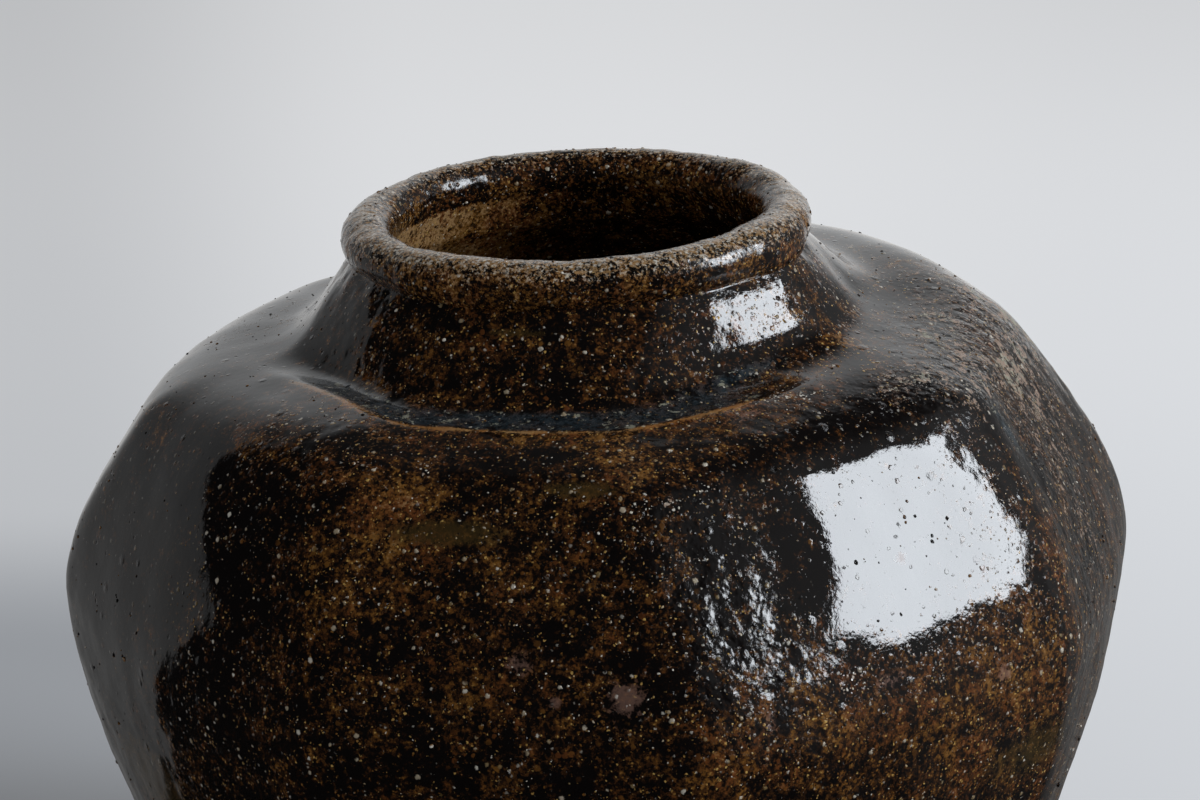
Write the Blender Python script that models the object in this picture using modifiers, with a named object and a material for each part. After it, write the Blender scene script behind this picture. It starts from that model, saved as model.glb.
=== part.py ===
"""Preserving jar: a hand-built stoneware jar with eight paddled panels.

The jar is built the way a potter builds it, in luted sections. A slab makes the base,
a coiled wall rises from it to the belly, a second wall laps over the first and closes
in to a ledge, a neck collar stands on the ledge, and a rolled lip sits on the collar.
Each section is a turned ring whose wall is then beaten flat, panel by panel, with a
paddle. The ridges between the panels are uneven, and the mouth sits a little askew.

Units are metres. +Z is up, the front is -Y, and the origin is the middle of the foot.
An azimuth is counted in degrees from the front towards +X.
"""

import math

import bmesh
import bpy
from mathutils import Vector

# Radii of the round form, read on the ridges
FOOT_RADIUS = 0.0600
BELLY_RADIUS = 0.1080
LIP_RING_RADIUS = 0.0413
LIP_ROLL_RADIUS = 0.0047

# Widths outwards from the lip: the spread of the neck, the ledge, and the flat of the
# shoulder outside the ledge
NECK_SPREAD = 0.0172
LEDGE_WIDTH = 0.0085
SHOULDER_WIDTH = 0.0154

# Heights, each counted from the one before it
BELLY_HEIGHT = 0.1180
SHOULDER_RISE = 0.0460
LEDGE_RISE = 0.0045
NECK_RISE = 0.0208

# Walls, the base slab and the joints between the sections
WALL = 0.0075
FLOOR_THICKNESS = 0.0100
SLAB_EDGE = 0.0060
FOOT_BEVEL = 0.0018
BELLY_LAP = 0.0070
JOINT_GAP = 0.0003

# The groove of the ledge, and the bends that lead into it and out of it
LEDGE_DIP = 0.0007
SHOULDER_BEND = 0.0075
NECK_FOOT_BEND = 0.0050

# The seat of the lip, as angles round the section of the roll
LIP_OUTER_SEAT_DEGREES = -50.0
LIP_INNER_SEAT_DEGREES = 210.0

# Both walls swell along the same curve
SWELL_POWER = 1.6

# The eight ridges: where each one stands, how far it stands out as a share of the
# belly's radius, and how far it is lifted as a share of the shoulder's rise
RIDGE_AZIMUTHS = (-83.5, -28.5, 9.5, 56.5, 99.3, 141.0, 186.0, 231.0)
RIDGE_REACH_SHARES = (0.012, -0.009, 0.000, -0.027, 0.025, 0.016, 0.000, -0.012)
RIDGE_LIFT_SHARES = (-0.021, -0.003, 0.042, 0.092, 0.087, 0.147, 0.000, -0.006)

# What the paddle did at each height: the height as a share of the ledge's height, then
# the shares of the full flatness, reach and lift that the wall has there
PADDLE_SHARES = (
    (0.00, 0.00, 0.40, 0.00),
    (0.20, 0.15, 0.58, 0.14),
    (0.44, 0.45, 0.80, 0.30),
    (0.68, 0.70, 0.97, 0.70),
    (0.85, 0.80, 0.93, 0.92),
    (0.97, 0.80, 0.65, 1.00),
    (1.00, 0.70, 0.40, 0.60),
    (1.03, 0.25, 0.30, 0.55),
    (1.10, 0.00, 0.00, 0.00),
)

# The mouth leans: it is moved sideways, and its right side stands higher
MOUTH_SHIFT = -0.0055
MOUTH_SLOPE = 0.050

# Points of the wall this share of its thickness from a joint are left to the joint
JOINT_MARGIN_SHARE = 0.14

# How finely the form is divided
PANEL_STEPS = 8
LOWER_WALL_STEPS = 9
UPPER_WALL_STEPS = 5
BEND_STEPS = 3
NECK_STEPS = 3
LIP_STEPS = 13
MERGE_DISTANCE = 0.00001
SHARP_DEGREES = 35.0

# The finish of each section: the material, its colour and its roughness
FINISHES = {
    "base_disc": ("bare_clay", (0.230, 0.135, 0.085), 0.85),
    "lower_wall": ("belly_glaze", (0.045, 0.026, 0.014), 0.22),
    "upper_wall": ("shoulder_glaze", (0.075, 0.040, 0.016), 0.20),
    "neck_collar": ("neck_glaze", (0.030, 0.018, 0.012), 0.25),
    "rolled_rim": ("lip_glaze", (0.135, 0.090, 0.050), 0.35),
}

# Places worked out from the sizes above
NECK_FOOT_RADIUS = LIP_RING_RADIUS + NECK_SPREAD
LEDGE_RADIUS = NECK_FOOT_RADIUS + LEDGE_WIDTH
SHOULDER_RADIUS = LEDGE_RADIUS + SHOULDER_WIDTH
SHOULDER_HEIGHT = BELLY_HEIGHT + SHOULDER_RISE
LEDGE_HEIGHT = SHOULDER_HEIGHT + LEDGE_RISE
LIP_HEIGHT = LEDGE_HEIGHT + NECK_RISE
RIDGES = len(RIDGE_AZIMUTHS)
FRONT_RIDGE = RIDGE_AZIMUTHS.index(min(RIDGE_AZIMUTHS, key=abs))


def empty_scene():
    """Removes whatever objects the open file holds."""
    for old in list(bpy.data.objects):
        bpy.data.objects.remove(old, do_unlink=True)


def finish(section):
    """The material of one section."""
    name, colour, roughness = FINISHES[section]
    material = bpy.data.materials.new(name)
    material.use_nodes = True
    shader = material.node_tree.nodes["Principled BSDF"]
    shader.inputs["Base Color"].default_value = (*colour, 1.0)
    shader.inputs["Roughness"].default_value = roughness
    shader.inputs["Metallic"].default_value = 0.0
    material.diffuse_color = (*colour, 1.0)
    return material


def lower_wall_point(share):
    """The outer face between the foot and the belly."""
    swell = 1.0 - (1.0 - share) ** SWELL_POWER
    return Vector((FOOT_RADIUS + (BELLY_RADIUS - FOOT_RADIUS) * swell, BELLY_HEIGHT * share))


def upper_wall_point(share):
    """The outer face between the belly and the turn of the shoulder."""
    closing = share ** SWELL_POWER
    radius = BELLY_RADIUS - (BELLY_RADIUS - SHOULDER_RADIUS) * closing
    return Vector((radius, BELLY_HEIGHT + SHOULDER_RISE * share))


def lip_point(degrees):
    """A point on the round section of the rolled lip."""
    angle = math.radians(degrees)
    centre = Vector((LIP_RING_RADIUS, LIP_HEIGHT))
    return centre + LIP_ROLL_RADIUS * Vector((math.cos(angle), math.sin(angle)))


def towards(start, end, distance):
    """The point that lies this far from start on the way to end."""
    return start + (end - start).normalized() * distance


def bend(start, corner, end):
    """Points on a soft bend that leaves start and reaches end round a corner."""
    points = []
    for step in range(BEND_STEPS + 1):
        share = step / BEND_STEPS
        first = start.lerp(corner, share)
        second = corner.lerp(end, share)
        points.append(first.lerp(second, share))
    return points


def outer_outline():
    """The outer face from the foot to the lip, as (radius, height) points going up."""
    lower = [lower_wall_point(step / LOWER_WALL_STEPS) for step in range(LOWER_WALL_STEPS + 1)]
    upper = [upper_wall_point(step / UPPER_WALL_STEPS) for step in range(1, UPPER_WALL_STEPS)]
    shoulder = upper_wall_point(1.0)
    ledge_edge = Vector((LEDGE_RADIUS, LEDGE_HEIGHT))
    turn = bend(
        towards(shoulder, upper[-1], SHOULDER_BEND),
        shoulder,
        towards(shoulder, ledge_edge, SHOULDER_BEND),
    )
    groove = Vector((NECK_FOOT_RADIUS, LEDGE_HEIGHT - LEDGE_DIP))
    neck_top = lip_point(LIP_OUTER_SEAT_DEGREES)
    rise = bend(
        towards(groove, ledge_edge, NECK_FOOT_BEND),
        groove,
        towards(groove, neck_top, NECK_FOOT_BEND),
    )
    neck = [rise[-1].lerp(neck_top, step / NECK_STEPS) for step in range(1, NECK_STEPS + 1)]
    return lower + upper + turn + [ledge_edge] + rise + neck


class Wall:
    """The outer and inner faces of the jar, both read by the distance up the outer one."""

    def __init__(self, outer):
        self.outer = outer
        self.inner = [point + self.inward(index) * WALL for index, point in enumerate(outer)]
        self.marks = [0.0]
        for before, after in zip(outer, outer[1:]):
            self.marks.append(self.marks[-1] + (after - before).length)

    def inward(self, index):
        """The direction into the clay at one point of the outer face."""
        before = self.outer[max(index - 1, 0)]
        after = self.outer[min(index + 1, len(self.outer) - 1)]
        along = (after - before).normalized()
        return Vector((-along.y, along.x))

    def read(self, face, mark):
        """The point of a face at one distance."""
        for index in range(len(face) - 1):
            if mark <= self.marks[index + 1]:
                break
        span = self.marks[index + 1] - self.marks[index]
        return face[index].lerp(face[index + 1], (mark - self.marks[index]) / span)

    def mark_at(self, face, height):
        """The distance at which a face first reaches a height."""
        for index in range(len(face) - 1):
            low, high = face[index].y, face[index + 1].y
            if low <= height <= high and high > low:
                share = (height - low) / (high - low)
                return self.marks[index] * (1.0 - share) + self.marks[index + 1] * share
        raise ValueError("the wall never reaches that height")

    def middle(self, mark):
        """The point halfway through the wall."""
        return self.read(self.outer, mark).lerp(self.read(self.inner, mark), 0.5)

    def between(self, face, start, end):
        """The face's own points between two distances, clear of both ends."""
        margin = WALL * JOINT_MARGIN_SHARE
        chosen = []
        for mark, point in zip(self.marks, face):
            if start + margin < mark < end - margin:
                chosen.append(point)
        return chosen


def shifted(line, distance):
    """A line moved square to itself, towards its left side, with mitred corners."""
    moved = []
    last = len(line) - 1
    for index, point in enumerate(line):
        into = (line[max(index, 1)] - line[max(index, 1) - 1]).normalized()
        out = (line[min(index, last - 1) + 1] - line[min(index, last - 1)]).normalized()
        across = Vector((-into.y, into.x)) + Vector((-out.y, out.x))
        moved.append(point + across * (distance / (1.0 + into.dot(out))))
    return moved


def ring_profile(lower_joint, outer_line, inner_line, upper_joint):
    """The closed section of a ring that stands between two joints.

    The joints run from the outer face to the inner one. Half the joint's gap is kept on
    this side of each.
    """
    foot = shifted(lower_joint, -JOINT_GAP / 2)
    head = shifted(upper_joint, JOINT_GAP / 2)
    return outer_line[::-1] + foot + inner_line + head[::-1]


def blend(table, place):
    """The row of a table at a place between its rows."""
    place = min(max(place, table[0][0]), table[-1][0])
    for low, high in zip(table, table[1:]):
        if place <= high[0]:
            break
    share = (place - low[0]) / (high[0] - low[0])
    return [a * (1.0 - share) + b * share for a, b in zip(low, high)]


def ease(share):
    """A share that starts and ends softly, kept between 0 and 1."""
    share = min(max(share, 0.0), 1.0)
    return share * share * (3.0 - 2.0 * share)


def paddled(point):
    """Where a point of the round form comes to lie on the finished jar.

    The even eighths of the circle are moved to the ridges, the wall between two ridges
    is beaten towards their chord, and the top is leaned over.
    """
    radius = math.hypot(point.x, point.y)
    eighths = (math.atan2(point.y, point.x) / math.tau + 0.25) * RIDGES
    ridge = math.floor(eighths + 0.5 / PANEL_STEPS)
    share = min(max(eighths - ridge, 0.0), 1.0)
    left = (ridge + FRONT_RIDGE) % RIDGES
    right = (left + 1) % RIDGES
    panel = (RIDGE_AZIMUTHS[right] - RIDGE_AZIMUTHS[left]) % 360.0
    azimuth = math.radians(RIDGE_AZIMUTHS[left] + panel * share)

    _, flatness, reach, lift = blend(PADDLE_SHARES, point.z / LEDGE_HEIGHT)
    half_panel = math.radians(panel / 2)
    chord_share = math.cos(half_panel) / math.cos(half_panel * (2.0 * share - 1.0))
    soft = ease(share)
    reach *= RIDGE_REACH_SHARES[left] * (1.0 - soft) + RIDGE_REACH_SHARES[right] * soft
    lift *= RIDGE_LIFT_SHARES[left] * (1.0 - soft) + RIDGE_LIFT_SHARES[right] * soft

    standing_out = radius * reach
    radius = (radius + standing_out) * (1.0 - flatness + flatness * chord_share)
    x = radius * math.sin(azimuth)
    y = -radius * math.cos(azimuth)
    lean = ease((point.z - BELLY_HEIGHT) / (LIP_HEIGHT - BELLY_HEIGHT))
    z = point.z + lift * SHOULDER_RISE + lean * MOUTH_SLOPE * x
    return Vector((x + lean * MOUTH_SHIFT, y, z))


def turned(name, profile, closed, collection):
    """Turns a profile into one section of the jar and paddles it."""
    outline = bpy.data.meshes.new(name + "_profile")
    points = [(point.x, 0.0, point.y) for point in profile]
    count = len(points)
    edges = [(index, index + 1) for index in range(count - 1)]
    if closed:
        edges.append((count - 1, 0))
    outline.from_pydata(points, edges, [])
    wheel = bpy.data.objects.new(name + "_wheel", outline)
    collection.objects.link(wheel)

    screw = wheel.modifiers.new("Turn", "SCREW")
    screw.axis = "Z"
    screw.angle = math.tau
    screw.steps = RIDGES * PANEL_STEPS
    screw.render_steps = screw.steps
    screw.use_merge_vertices = True
    screw.merge_threshold = MERGE_DISTANCE
    screw.use_smooth_shade = True

    bpy.context.view_layer.update()
    evaluated = wheel.evaluated_get(bpy.context.evaluated_depsgraph_get())
    mesh = bpy.data.meshes.new_from_object(evaluated)
    bpy.data.objects.remove(wheel, do_unlink=True)
    bpy.data.meshes.remove(outline)

    shape = bmesh.new()
    shape.from_mesh(mesh)
    bmesh.ops.remove_doubles(shape, verts=shape.verts, dist=MERGE_DISTANCE)
    for vertex in shape.verts:
        vertex.co = paddled(vertex.co)
    shape.to_mesh(mesh)
    shape.free()

    mesh.name = name
    mesh.shade_smooth()
    mesh.set_sharp_from_angle(angle=math.radians(SHARP_DEGREES))
    mesh.materials.clear()
    mesh.materials.append(finish(name))
    section = bpy.data.objects.new(name, mesh)
    collection.objects.link(section)
    return section


def slab_joint(wall):
    """The wall stands in a rebate round the floor, which locates it."""
    outside = wall.read(wall.outer, wall.mark_at(wall.outer, SLAB_EDGE))
    inside = wall.read(wall.inner, wall.mark_at(wall.inner, FLOOR_THICKNESS))
    return [outside, Vector((inside.x, outside.y)), inside]


def belly_joint(wall):
    """A half lap: the upper wall's skirt hangs outside the lower wall's tongue."""
    low = wall.mark_at(wall.outer, BELLY_HEIGHT)
    high = low + BELLY_LAP
    return [
        wall.read(wall.outer, low),
        wall.middle(low),
        wall.middle(high),
        wall.read(wall.inner, high),
    ]


def neck_joint(wall, mark):
    """A conical seat that carries the collar in the mouth of the shoulder."""
    return [wall.read(wall.outer, mark), wall.read(wall.inner, mark)]


def lip_joint():
    """The seat of the rolled lip on the edge of the collar."""
    return [lip_point(LIP_OUTER_SEAT_DEGREES), lip_point(LIP_INNER_SEAT_DEGREES)]


def base_profile(joint):
    """The slab from the middle of its floor, over the rebate, to the middle of its foot."""
    seat = shifted(joint, JOINT_GAP / 2)
    foot_edge = lower_wall_point(0.0)
    bevel_top = towards(foot_edge, joint[0], FOOT_BEVEL)
    bevel_bottom = foot_edge - Vector((FOOT_BEVEL, 0.0))
    middle_top = Vector((0.0, seat[-1].y))
    middle_bottom = Vector((0.0, 0.0))
    return [middle_top] + seat[::-1] + [bevel_top, bevel_bottom, middle_bottom]


def lip_profile(joint):
    """The roll, from its inner seat over the top and down to its outer seat."""
    span = LIP_OUTER_SEAT_DEGREES - LIP_INNER_SEAT_DEGREES
    arc = []
    for step in range(1, LIP_STEPS):
        arc.append(lip_point(LIP_INNER_SEAT_DEGREES + span * step / LIP_STEPS))
    return arc + shifted(joint, -JOINT_GAP / 2)


def build_jar():
    """Makes the five sections of the jar."""
    collection = bpy.data.collections.new("preserving_jar")
    bpy.context.scene.collection.children.link(collection)
    wall = Wall(outer_outline())

    slab = slab_joint(wall)
    belly = belly_joint(wall)
    neck_mark = wall.marks[wall.outer.index(Vector((LEDGE_RADIUS, LEDGE_HEIGHT))) + BEND_STEPS]
    neck = neck_joint(wall, neck_mark)
    lip = lip_joint()

    slab_outer = wall.mark_at(wall.outer, SLAB_EDGE)
    slab_inner = wall.mark_at(wall.inner, FLOOR_THICKNESS)
    belly_outer = wall.mark_at(wall.outer, BELLY_HEIGHT)
    belly_inner = belly_outer + BELLY_LAP
    top = wall.marks[-1]

    lower_wall = ring_profile(
        slab,
        wall.between(wall.outer, slab_outer, belly_outer),
        wall.between(wall.inner, slab_inner, belly_inner),
        belly,
    )
    upper_wall = ring_profile(
        belly,
        wall.between(wall.outer, belly_outer, neck_mark),
        wall.between(wall.inner, belly_inner, neck_mark),
        neck,
    )
    neck_collar = ring_profile(
        neck,
        wall.between(wall.outer, neck_mark, top),
        wall.between(wall.inner, neck_mark, top),
        lip,
    )

    turned("base_disc", base_profile(slab), False, collection)
    turned("lower_wall", lower_wall, True, collection)
    turned("upper_wall", upper_wall, True, collection)
    turned("neck_collar", neck_collar, True, collection)
    turned("rolled_rim", lip_profile(lip), True, collection)


empty_scene()
build_jar()
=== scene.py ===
# %% [markdown]
# # A hand-built stoneware jar, dressed in its glaze
# The frame holds the jar as five plain faceted sections: a slab, two walls, a collar and
# a rolled lip. This script gives them their real skin: soft ridges, the marks of the
# paddle and the fingers, and a black and amber glaze full of grit.
# Units are metres, +Z is up, the front is -Y, and azimuths are counted from the front
# towards +X.

# %% Load the frame
import math
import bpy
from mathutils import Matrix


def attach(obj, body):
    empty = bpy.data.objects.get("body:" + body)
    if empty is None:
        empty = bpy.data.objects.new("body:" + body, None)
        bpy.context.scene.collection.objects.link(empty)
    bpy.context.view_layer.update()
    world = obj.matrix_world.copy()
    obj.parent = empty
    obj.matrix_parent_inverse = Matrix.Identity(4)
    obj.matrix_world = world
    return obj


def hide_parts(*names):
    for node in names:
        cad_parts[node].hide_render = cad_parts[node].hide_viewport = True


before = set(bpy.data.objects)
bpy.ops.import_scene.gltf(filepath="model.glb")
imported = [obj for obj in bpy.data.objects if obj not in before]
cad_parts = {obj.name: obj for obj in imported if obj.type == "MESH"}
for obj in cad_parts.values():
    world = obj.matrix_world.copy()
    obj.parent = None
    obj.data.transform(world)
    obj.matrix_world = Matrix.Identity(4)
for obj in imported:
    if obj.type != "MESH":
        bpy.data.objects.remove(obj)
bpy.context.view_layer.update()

from types import SimpleNamespace

import bpy
import numpy as np
from mathutils import Matrix, Vector

print("sections in the frame:", ", ".join(sorted(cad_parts)))

# %% [markdown]
# ## Camera, floor and light
# The photograph looks down at the jar by 19 degrees through a long lens. The camera comes
# first, because everything after it is judged through it. Light is the other half of a
# glossy glaze: a black pot shows little but what it mirrors. So there is one tall window
# to the right, a pale floor, and a room that is pale behind the jar and dark behind the
# camera. The window could be a bright plane, but an area light is sampled with less noise.

# %% Camera
LENS = 0.090
SENSOR_WIDTH = 0.036
CAMERA_PLACE = (-0.00087, -0.57194, 0.34999)
CAMERA_TILT_DEGREES = 19.03
MILLIMETRE = 0.001
TINY = 1e-12

scene = bpy.context.scene
scene.view_settings.view_transform = "Standard"
camera_data = bpy.data.cameras.new("photograph_view")
camera_data.lens = LENS / MILLIMETRE
camera_data.sensor_width = SENSOR_WIDTH / MILLIMETRE
camera = bpy.data.objects.new("photograph_view", camera_data)
camera.location = CAMERA_PLACE
camera.rotation_euler = (math.radians(90.0 - CAMERA_TILT_DEGREES), 0.0, 0.0)
scene.collection.objects.link(camera)
scene.camera = camera
print("camera tilt:", CAMERA_TILT_DEGREES, "degrees")

# %% [markdown]
# ## A way to write node maths
# Nodes that are wired one by one are hard to read. This small class wraps a socket, so
# that a sum written in Python adds the Math nodes for it, in shaders and in geometry
# alike. Every other node comes from `Wire.new`.

# %% Node maths
class Wire:
    """A socket of a node tree. Sums on it add Math nodes."""

    def __init__(self, tree, socket):
        self.tree = tree
        self.socket = socket

    @classmethod
    def new(cls, tree, kind, settings=None, sockets=None, output=0):
        """Adds a node: its settings first, then the values or links of its sockets."""
        node = tree.nodes.new(kind)
        for name, value in (settings or {}).items():
            setattr(node, name, value)
        for name, value in (sockets or {}).items():
            if isinstance(value, Wire):
                tree.links.new(value.socket, node.inputs[name])
            else:
                node.inputs[name].default_value = value
        return cls(tree, node.outputs[output] if len(node.outputs) else None)

    def maths(self, operation, *values):
        """A Math node on this socket and up to two other values."""
        sockets = dict(enumerate((self, *values)))
        return Wire.new(self.tree, "ShaderNodeMath", {"operation": operation}, sockets)

    def __add__(self, other):
        return self.maths("ADD", other)

    def __radd__(self, other):
        return self.maths("ADD", other)

    def __sub__(self, other):
        return self.maths("SUBTRACT", other)

    def __rsub__(self, other):
        return (self * -1.0).maths("ADD", other)

    def __mul__(self, other):
        return self.maths("MULTIPLY", other)

    def __rmul__(self, other):
        return self.maths("MULTIPLY", other)

    def __truediv__(self, other):
        return self.maths("DIVIDE", other)

    def __rtruediv__(self, other):
        return (self ** -1.0).maths("MULTIPLY", other)

    def __pow__(self, other):
        return self.maths("POWER", other)

    def between(self, low, high):
        """0 below low and 1 above high, with a soft step between them."""
        return Wire.new(
            self.tree,
            "ShaderNodeMapRange",
            {"interpolation_type": "SMOOTHSTEP"},
            {"Value": self, "From Min": low, "From Max": high},
        )

    def most(self, other):
        return self.maths("MAXIMUM", other)


def part(vector, axis):
    """One of the three parts of a vector socket."""
    return Wire.new(vector.tree, "ShaderNodeSeparateXYZ", None, {"Vector": vector}, axis)


def mixed(share, first, second):
    """A colour between two others."""
    tree = share.tree
    settings = {"data_type": "RGBA", "clamp_factor": True}
    sockets = {0: share, 6: first, 7: second}
    return Wire.new(tree, "ShaderNodeMix", settings, sockets, 2)


def noise(place, width, detail=2.0, rough=0.5, seed=0.0, output="Fac"):
    """Soft noise between 0 and 1 whose lumps are about this wide."""
    moved = Wire.new(
        place.tree,
        "ShaderNodeVectorMath",
        {"operation": "ADD"},
        {0: place, 1: (seed, seed * 0.7, seed * 0.3)},
    )
    sockets = {"Vector": moved, "Scale": 1.0 / width, "Detail": detail, "Roughness": rough}
    return Wire.new(place.tree, "ShaderNodeTexNoise", None, sockets, output)


def empty_material(name):
    """A material without nodes, and its tree."""
    material = bpy.data.materials.new(name)
    material.use_nodes = True
    material.node_tree.nodes.clear()
    return material, material.node_tree


print("node maths ready")

# %% [markdown]
# ## The light
# The window hangs to the right of the jar and a little in front. The world lights it
# softly from everywhere, and what the glaze mirrors of the world depends on the
# direction: pale behind the jar, dark on the camera's side, as in a room with one window.

# %% Window and room
JAR_MIDDLE = Vector((0.0, 0.0, 0.14))
WINDOW_AZIMUTH_DEGREES = 78.9
WINDOW_ELEVATION_DEGREES = 27.0
WINDOW_ROLL_DEGREES = 24.1
WINDOW_DISTANCE = 1.5
WINDOW_WIDTH = 0.446
WINDOW_HEIGHT = 0.779
WINDOW_RADIANCE = 14.8
WINDOW_HALO = 0.20
ROOM_FILL = 0.40
ROOM_DARK = 0.008
WALL_LEFT = 0.225
WALL_FAR_LEFT = 0.60
CORNER_RIGHT = 0.16
WALL_RIGHT = 0.80
SEEN_WALL = 0.74
WINDOW_TINT = (0.89, 0.94, 1.0)
ROOM_TINT = (0.97, 0.985, 1.0, 1.0)
# azimuths in radians where the pale walls start and are full
WALL_LEFT_STARTS = (1.792, 1.820)
WALL_LEFT_LEAN = 0.74
WALL_FAR_LEFT_STARTS = (2.35, 2.90)
CORNER_RIGHT_STARTS = (1.60, 1.75)
WALL_RIGHT_STARTS = (2.58, 2.80)
# shares of the way up, where the walls end in a dark ceiling, lower above the left
CEILING_STARTS = 0.48
CEILING_SLANT = 0.10
CEILING_SLANT_STARTS = (-0.2, 0.3)
CEILING_EASE = 0.22
CEILING_DARK_SHARE = 0.94
# how nearly a direction points at the window where its halo starts and is full
HALO_STARTS = (0.72, 0.96)


def direction(azimuth_degrees, elevation_degrees):
    """The unit vector that points this way from the jar."""
    azimuth = math.radians(azimuth_degrees)
    elevation = math.radians(elevation_degrees)
    flat = math.cos(elevation)
    return Vector((math.sin(azimuth) * flat, -math.cos(azimuth) * flat, math.sin(elevation)))


towards_window = direction(WINDOW_AZIMUTH_DEGREES, WINDOW_ELEVATION_DEGREES)
upright = direction(WINDOW_AZIMUTH_DEGREES, WINDOW_ELEVATION_DEGREES + 90.0)
sideways = direction(WINDOW_AZIMUTH_DEGREES + 90.0, 0.0)
roll = math.radians(WINDOW_ROLL_DEGREES)
tall_side = upright * math.cos(roll) + sideways * math.sin(roll)
short_side = tall_side.cross(towards_window)

window_data = bpy.data.lights.new("window", "AREA")
window_data.shape = "RECTANGLE"
window_data.size = WINDOW_WIDTH
window_data.size_y = WINDOW_HEIGHT
window_data.energy = WINDOW_RADIANCE * math.pi * WINDOW_WIDTH * WINDOW_HEIGHT
window_data.color = WINDOW_TINT
window = bpy.data.objects.new("window", window_data)
window.location = JAR_MIDDLE + towards_window * WINDOW_DISTANCE
window.rotation_euler = Matrix((short_side, tall_side, towards_window)).transposed().to_euler()
window.visible_camera = False
scene.collection.objects.link(window)

world = bpy.data.worlds.new("room")
world.use_nodes = True
world.node_tree.nodes.clear()
room = world.node_tree


def brightness_behind(rightwards, backwards, upwards):
    """How bright the room looks in one direction: pale behind, dark in front and above."""
    around = rightwards.maths("ARCTAN2", backwards * -1.0)
    leftwards = around * -1.0
    edge = leftwards - WALL_LEFT_LEAN * upwards.most(0.0)
    left = edge.between(*WALL_LEFT_STARTS) * WALL_LEFT
    left = left + leftwards.between(*WALL_FAR_LEFT_STARTS) * (WALL_FAR_LEFT - WALL_LEFT)
    right = around.between(*CORNER_RIGHT_STARTS) * CORNER_RIGHT
    right = right + around.between(*WALL_RIGHT_STARTS) * (WALL_RIGHT - CORNER_RIGHT)
    over = upwards - CEILING_STARTS - CEILING_SLANT * rightwards.between(*CEILING_SLANT_STARTS)
    walls = (left + right) * (1.0 - CEILING_DARK_SHARE * over.between(0.0, CEILING_EASE))
    x, y, z = towards_window
    halo = (rightwards * x + backwards * y + upwards * z).between(*HALO_STARTS)
    return ROOM_DARK + walls + halo * WINDOW_HALO


way = Wire.new(room, "ShaderNodeTexCoord", output="Generated")
seen = Wire.new(room, "ShaderNodeLightPath", output="Is Camera Ray")
mirrored = Wire.new(room, "ShaderNodeLightPath", output="Is Glossy Ray")
mirrored_light = brightness_behind(part(way, 0), part(way, 1), part(way, 2))
hidden_light = mirrored * mirrored_light + (1 - mirrored) * ROOM_FILL
strength = seen * SEEN_WALL + (1 - seen) * hidden_light
sky = Wire.new(
    room,
    "ShaderNodeBackground",
    None,
    {"Color": ROOM_TINT, "Strength": strength},
)
Wire.new(room, "ShaderNodeOutputWorld", None, {"Surface": sky})
scene.world = world
print("window:", WINDOW_WIDTH, "by", WINDOW_HEIGHT, "m, radiance", WINDOW_RADIANCE)

# %% [markdown]
# ## The floor
# A plain pale floor, wide enough to fill the picture behind the jar. The camera sees its
# full paleness with a painted glow over it, and it keeps the jar's shadow. Painted light
# makes it paler far off, and a painted shadow darkens it behind the jar on the left, as in
# the photograph. What the glaze mirrors of it is dimmed in front of the jar, like the room.

# %% Floor
FLOOR_REACH = 4.0
FLOOR_DROP = 0.0002
# painted light: the floor colour is paler far off, and darker in a painted shadow behind the jar on
# the left
FLOOR_NEAR_COLOUR = (0.60, 0.61, 0.63, 1.0)
FLOOR_FAR_COLOUR = (0.77, 0.77, 0.78, 1.0)
FLOOR_PAINTED_SHADOW_COLOUR = (0.51, 0.52, 0.54, 1.0)
FLOOR_FAR_STARTS = (0.05, 0.90)
# a painted glow that only the camera sees, stronger in the middle and weaker on the right
PAINTED_GLOW_AT_LEFT = 0.145
PAINTED_GLOW_IN_MIDDLE = 0.150
PAINTED_GLOW_AT_RIGHT = -0.060
PAINTED_GLOW_NEAR_SHARE = 0.80
PAINTED_GLOW_FAR_STARTS = (0.1, 0.5)
# slopes of the lines that fan out over the floor from a point in front of the jar
FAN_POINT_AHEAD = 0.5
FAN_LEAST_REACH = 0.3
PAINTED_SHADOW_SLOPE = -0.04
PAINTED_SHADOW_EASE = 0.15
PAINTED_GLOW_MIDDLE_SLOPES = (-0.21, -0.06)
PAINTED_GLOW_RIGHT_SLOPES = (0.0, 0.21)
# metres behind the jar, and to its side, between which the painted shadow comes and goes
PAINTED_SHADOW_COMES = (0.04, 0.12)
PAINTED_SHADOW_GOES = (0.22, 0.34)
PAINTED_SHADOW_SIDE = (-0.45, -0.25)
# what the glaze mirrors of the floor
JAR_REACH = 0.02
GLOW_NEAR_SHARE = 0.35
GLOW_STARTS = (0.06, 0.45)

floor_mesh = bpy.data.meshes.new("floor")
corners = [(-1, -1), (1, -1), (1, 1), (-1, 1)]
floor_mesh.from_pydata(
    [(x * FLOOR_REACH, y * FLOOR_REACH, -FLOOR_DROP) for x, y in corners], [], [(0, 1, 2, 3)]
)
floor = bpy.data.objects.new("floor", floor_mesh)
scene.collection.objects.link(floor)


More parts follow.
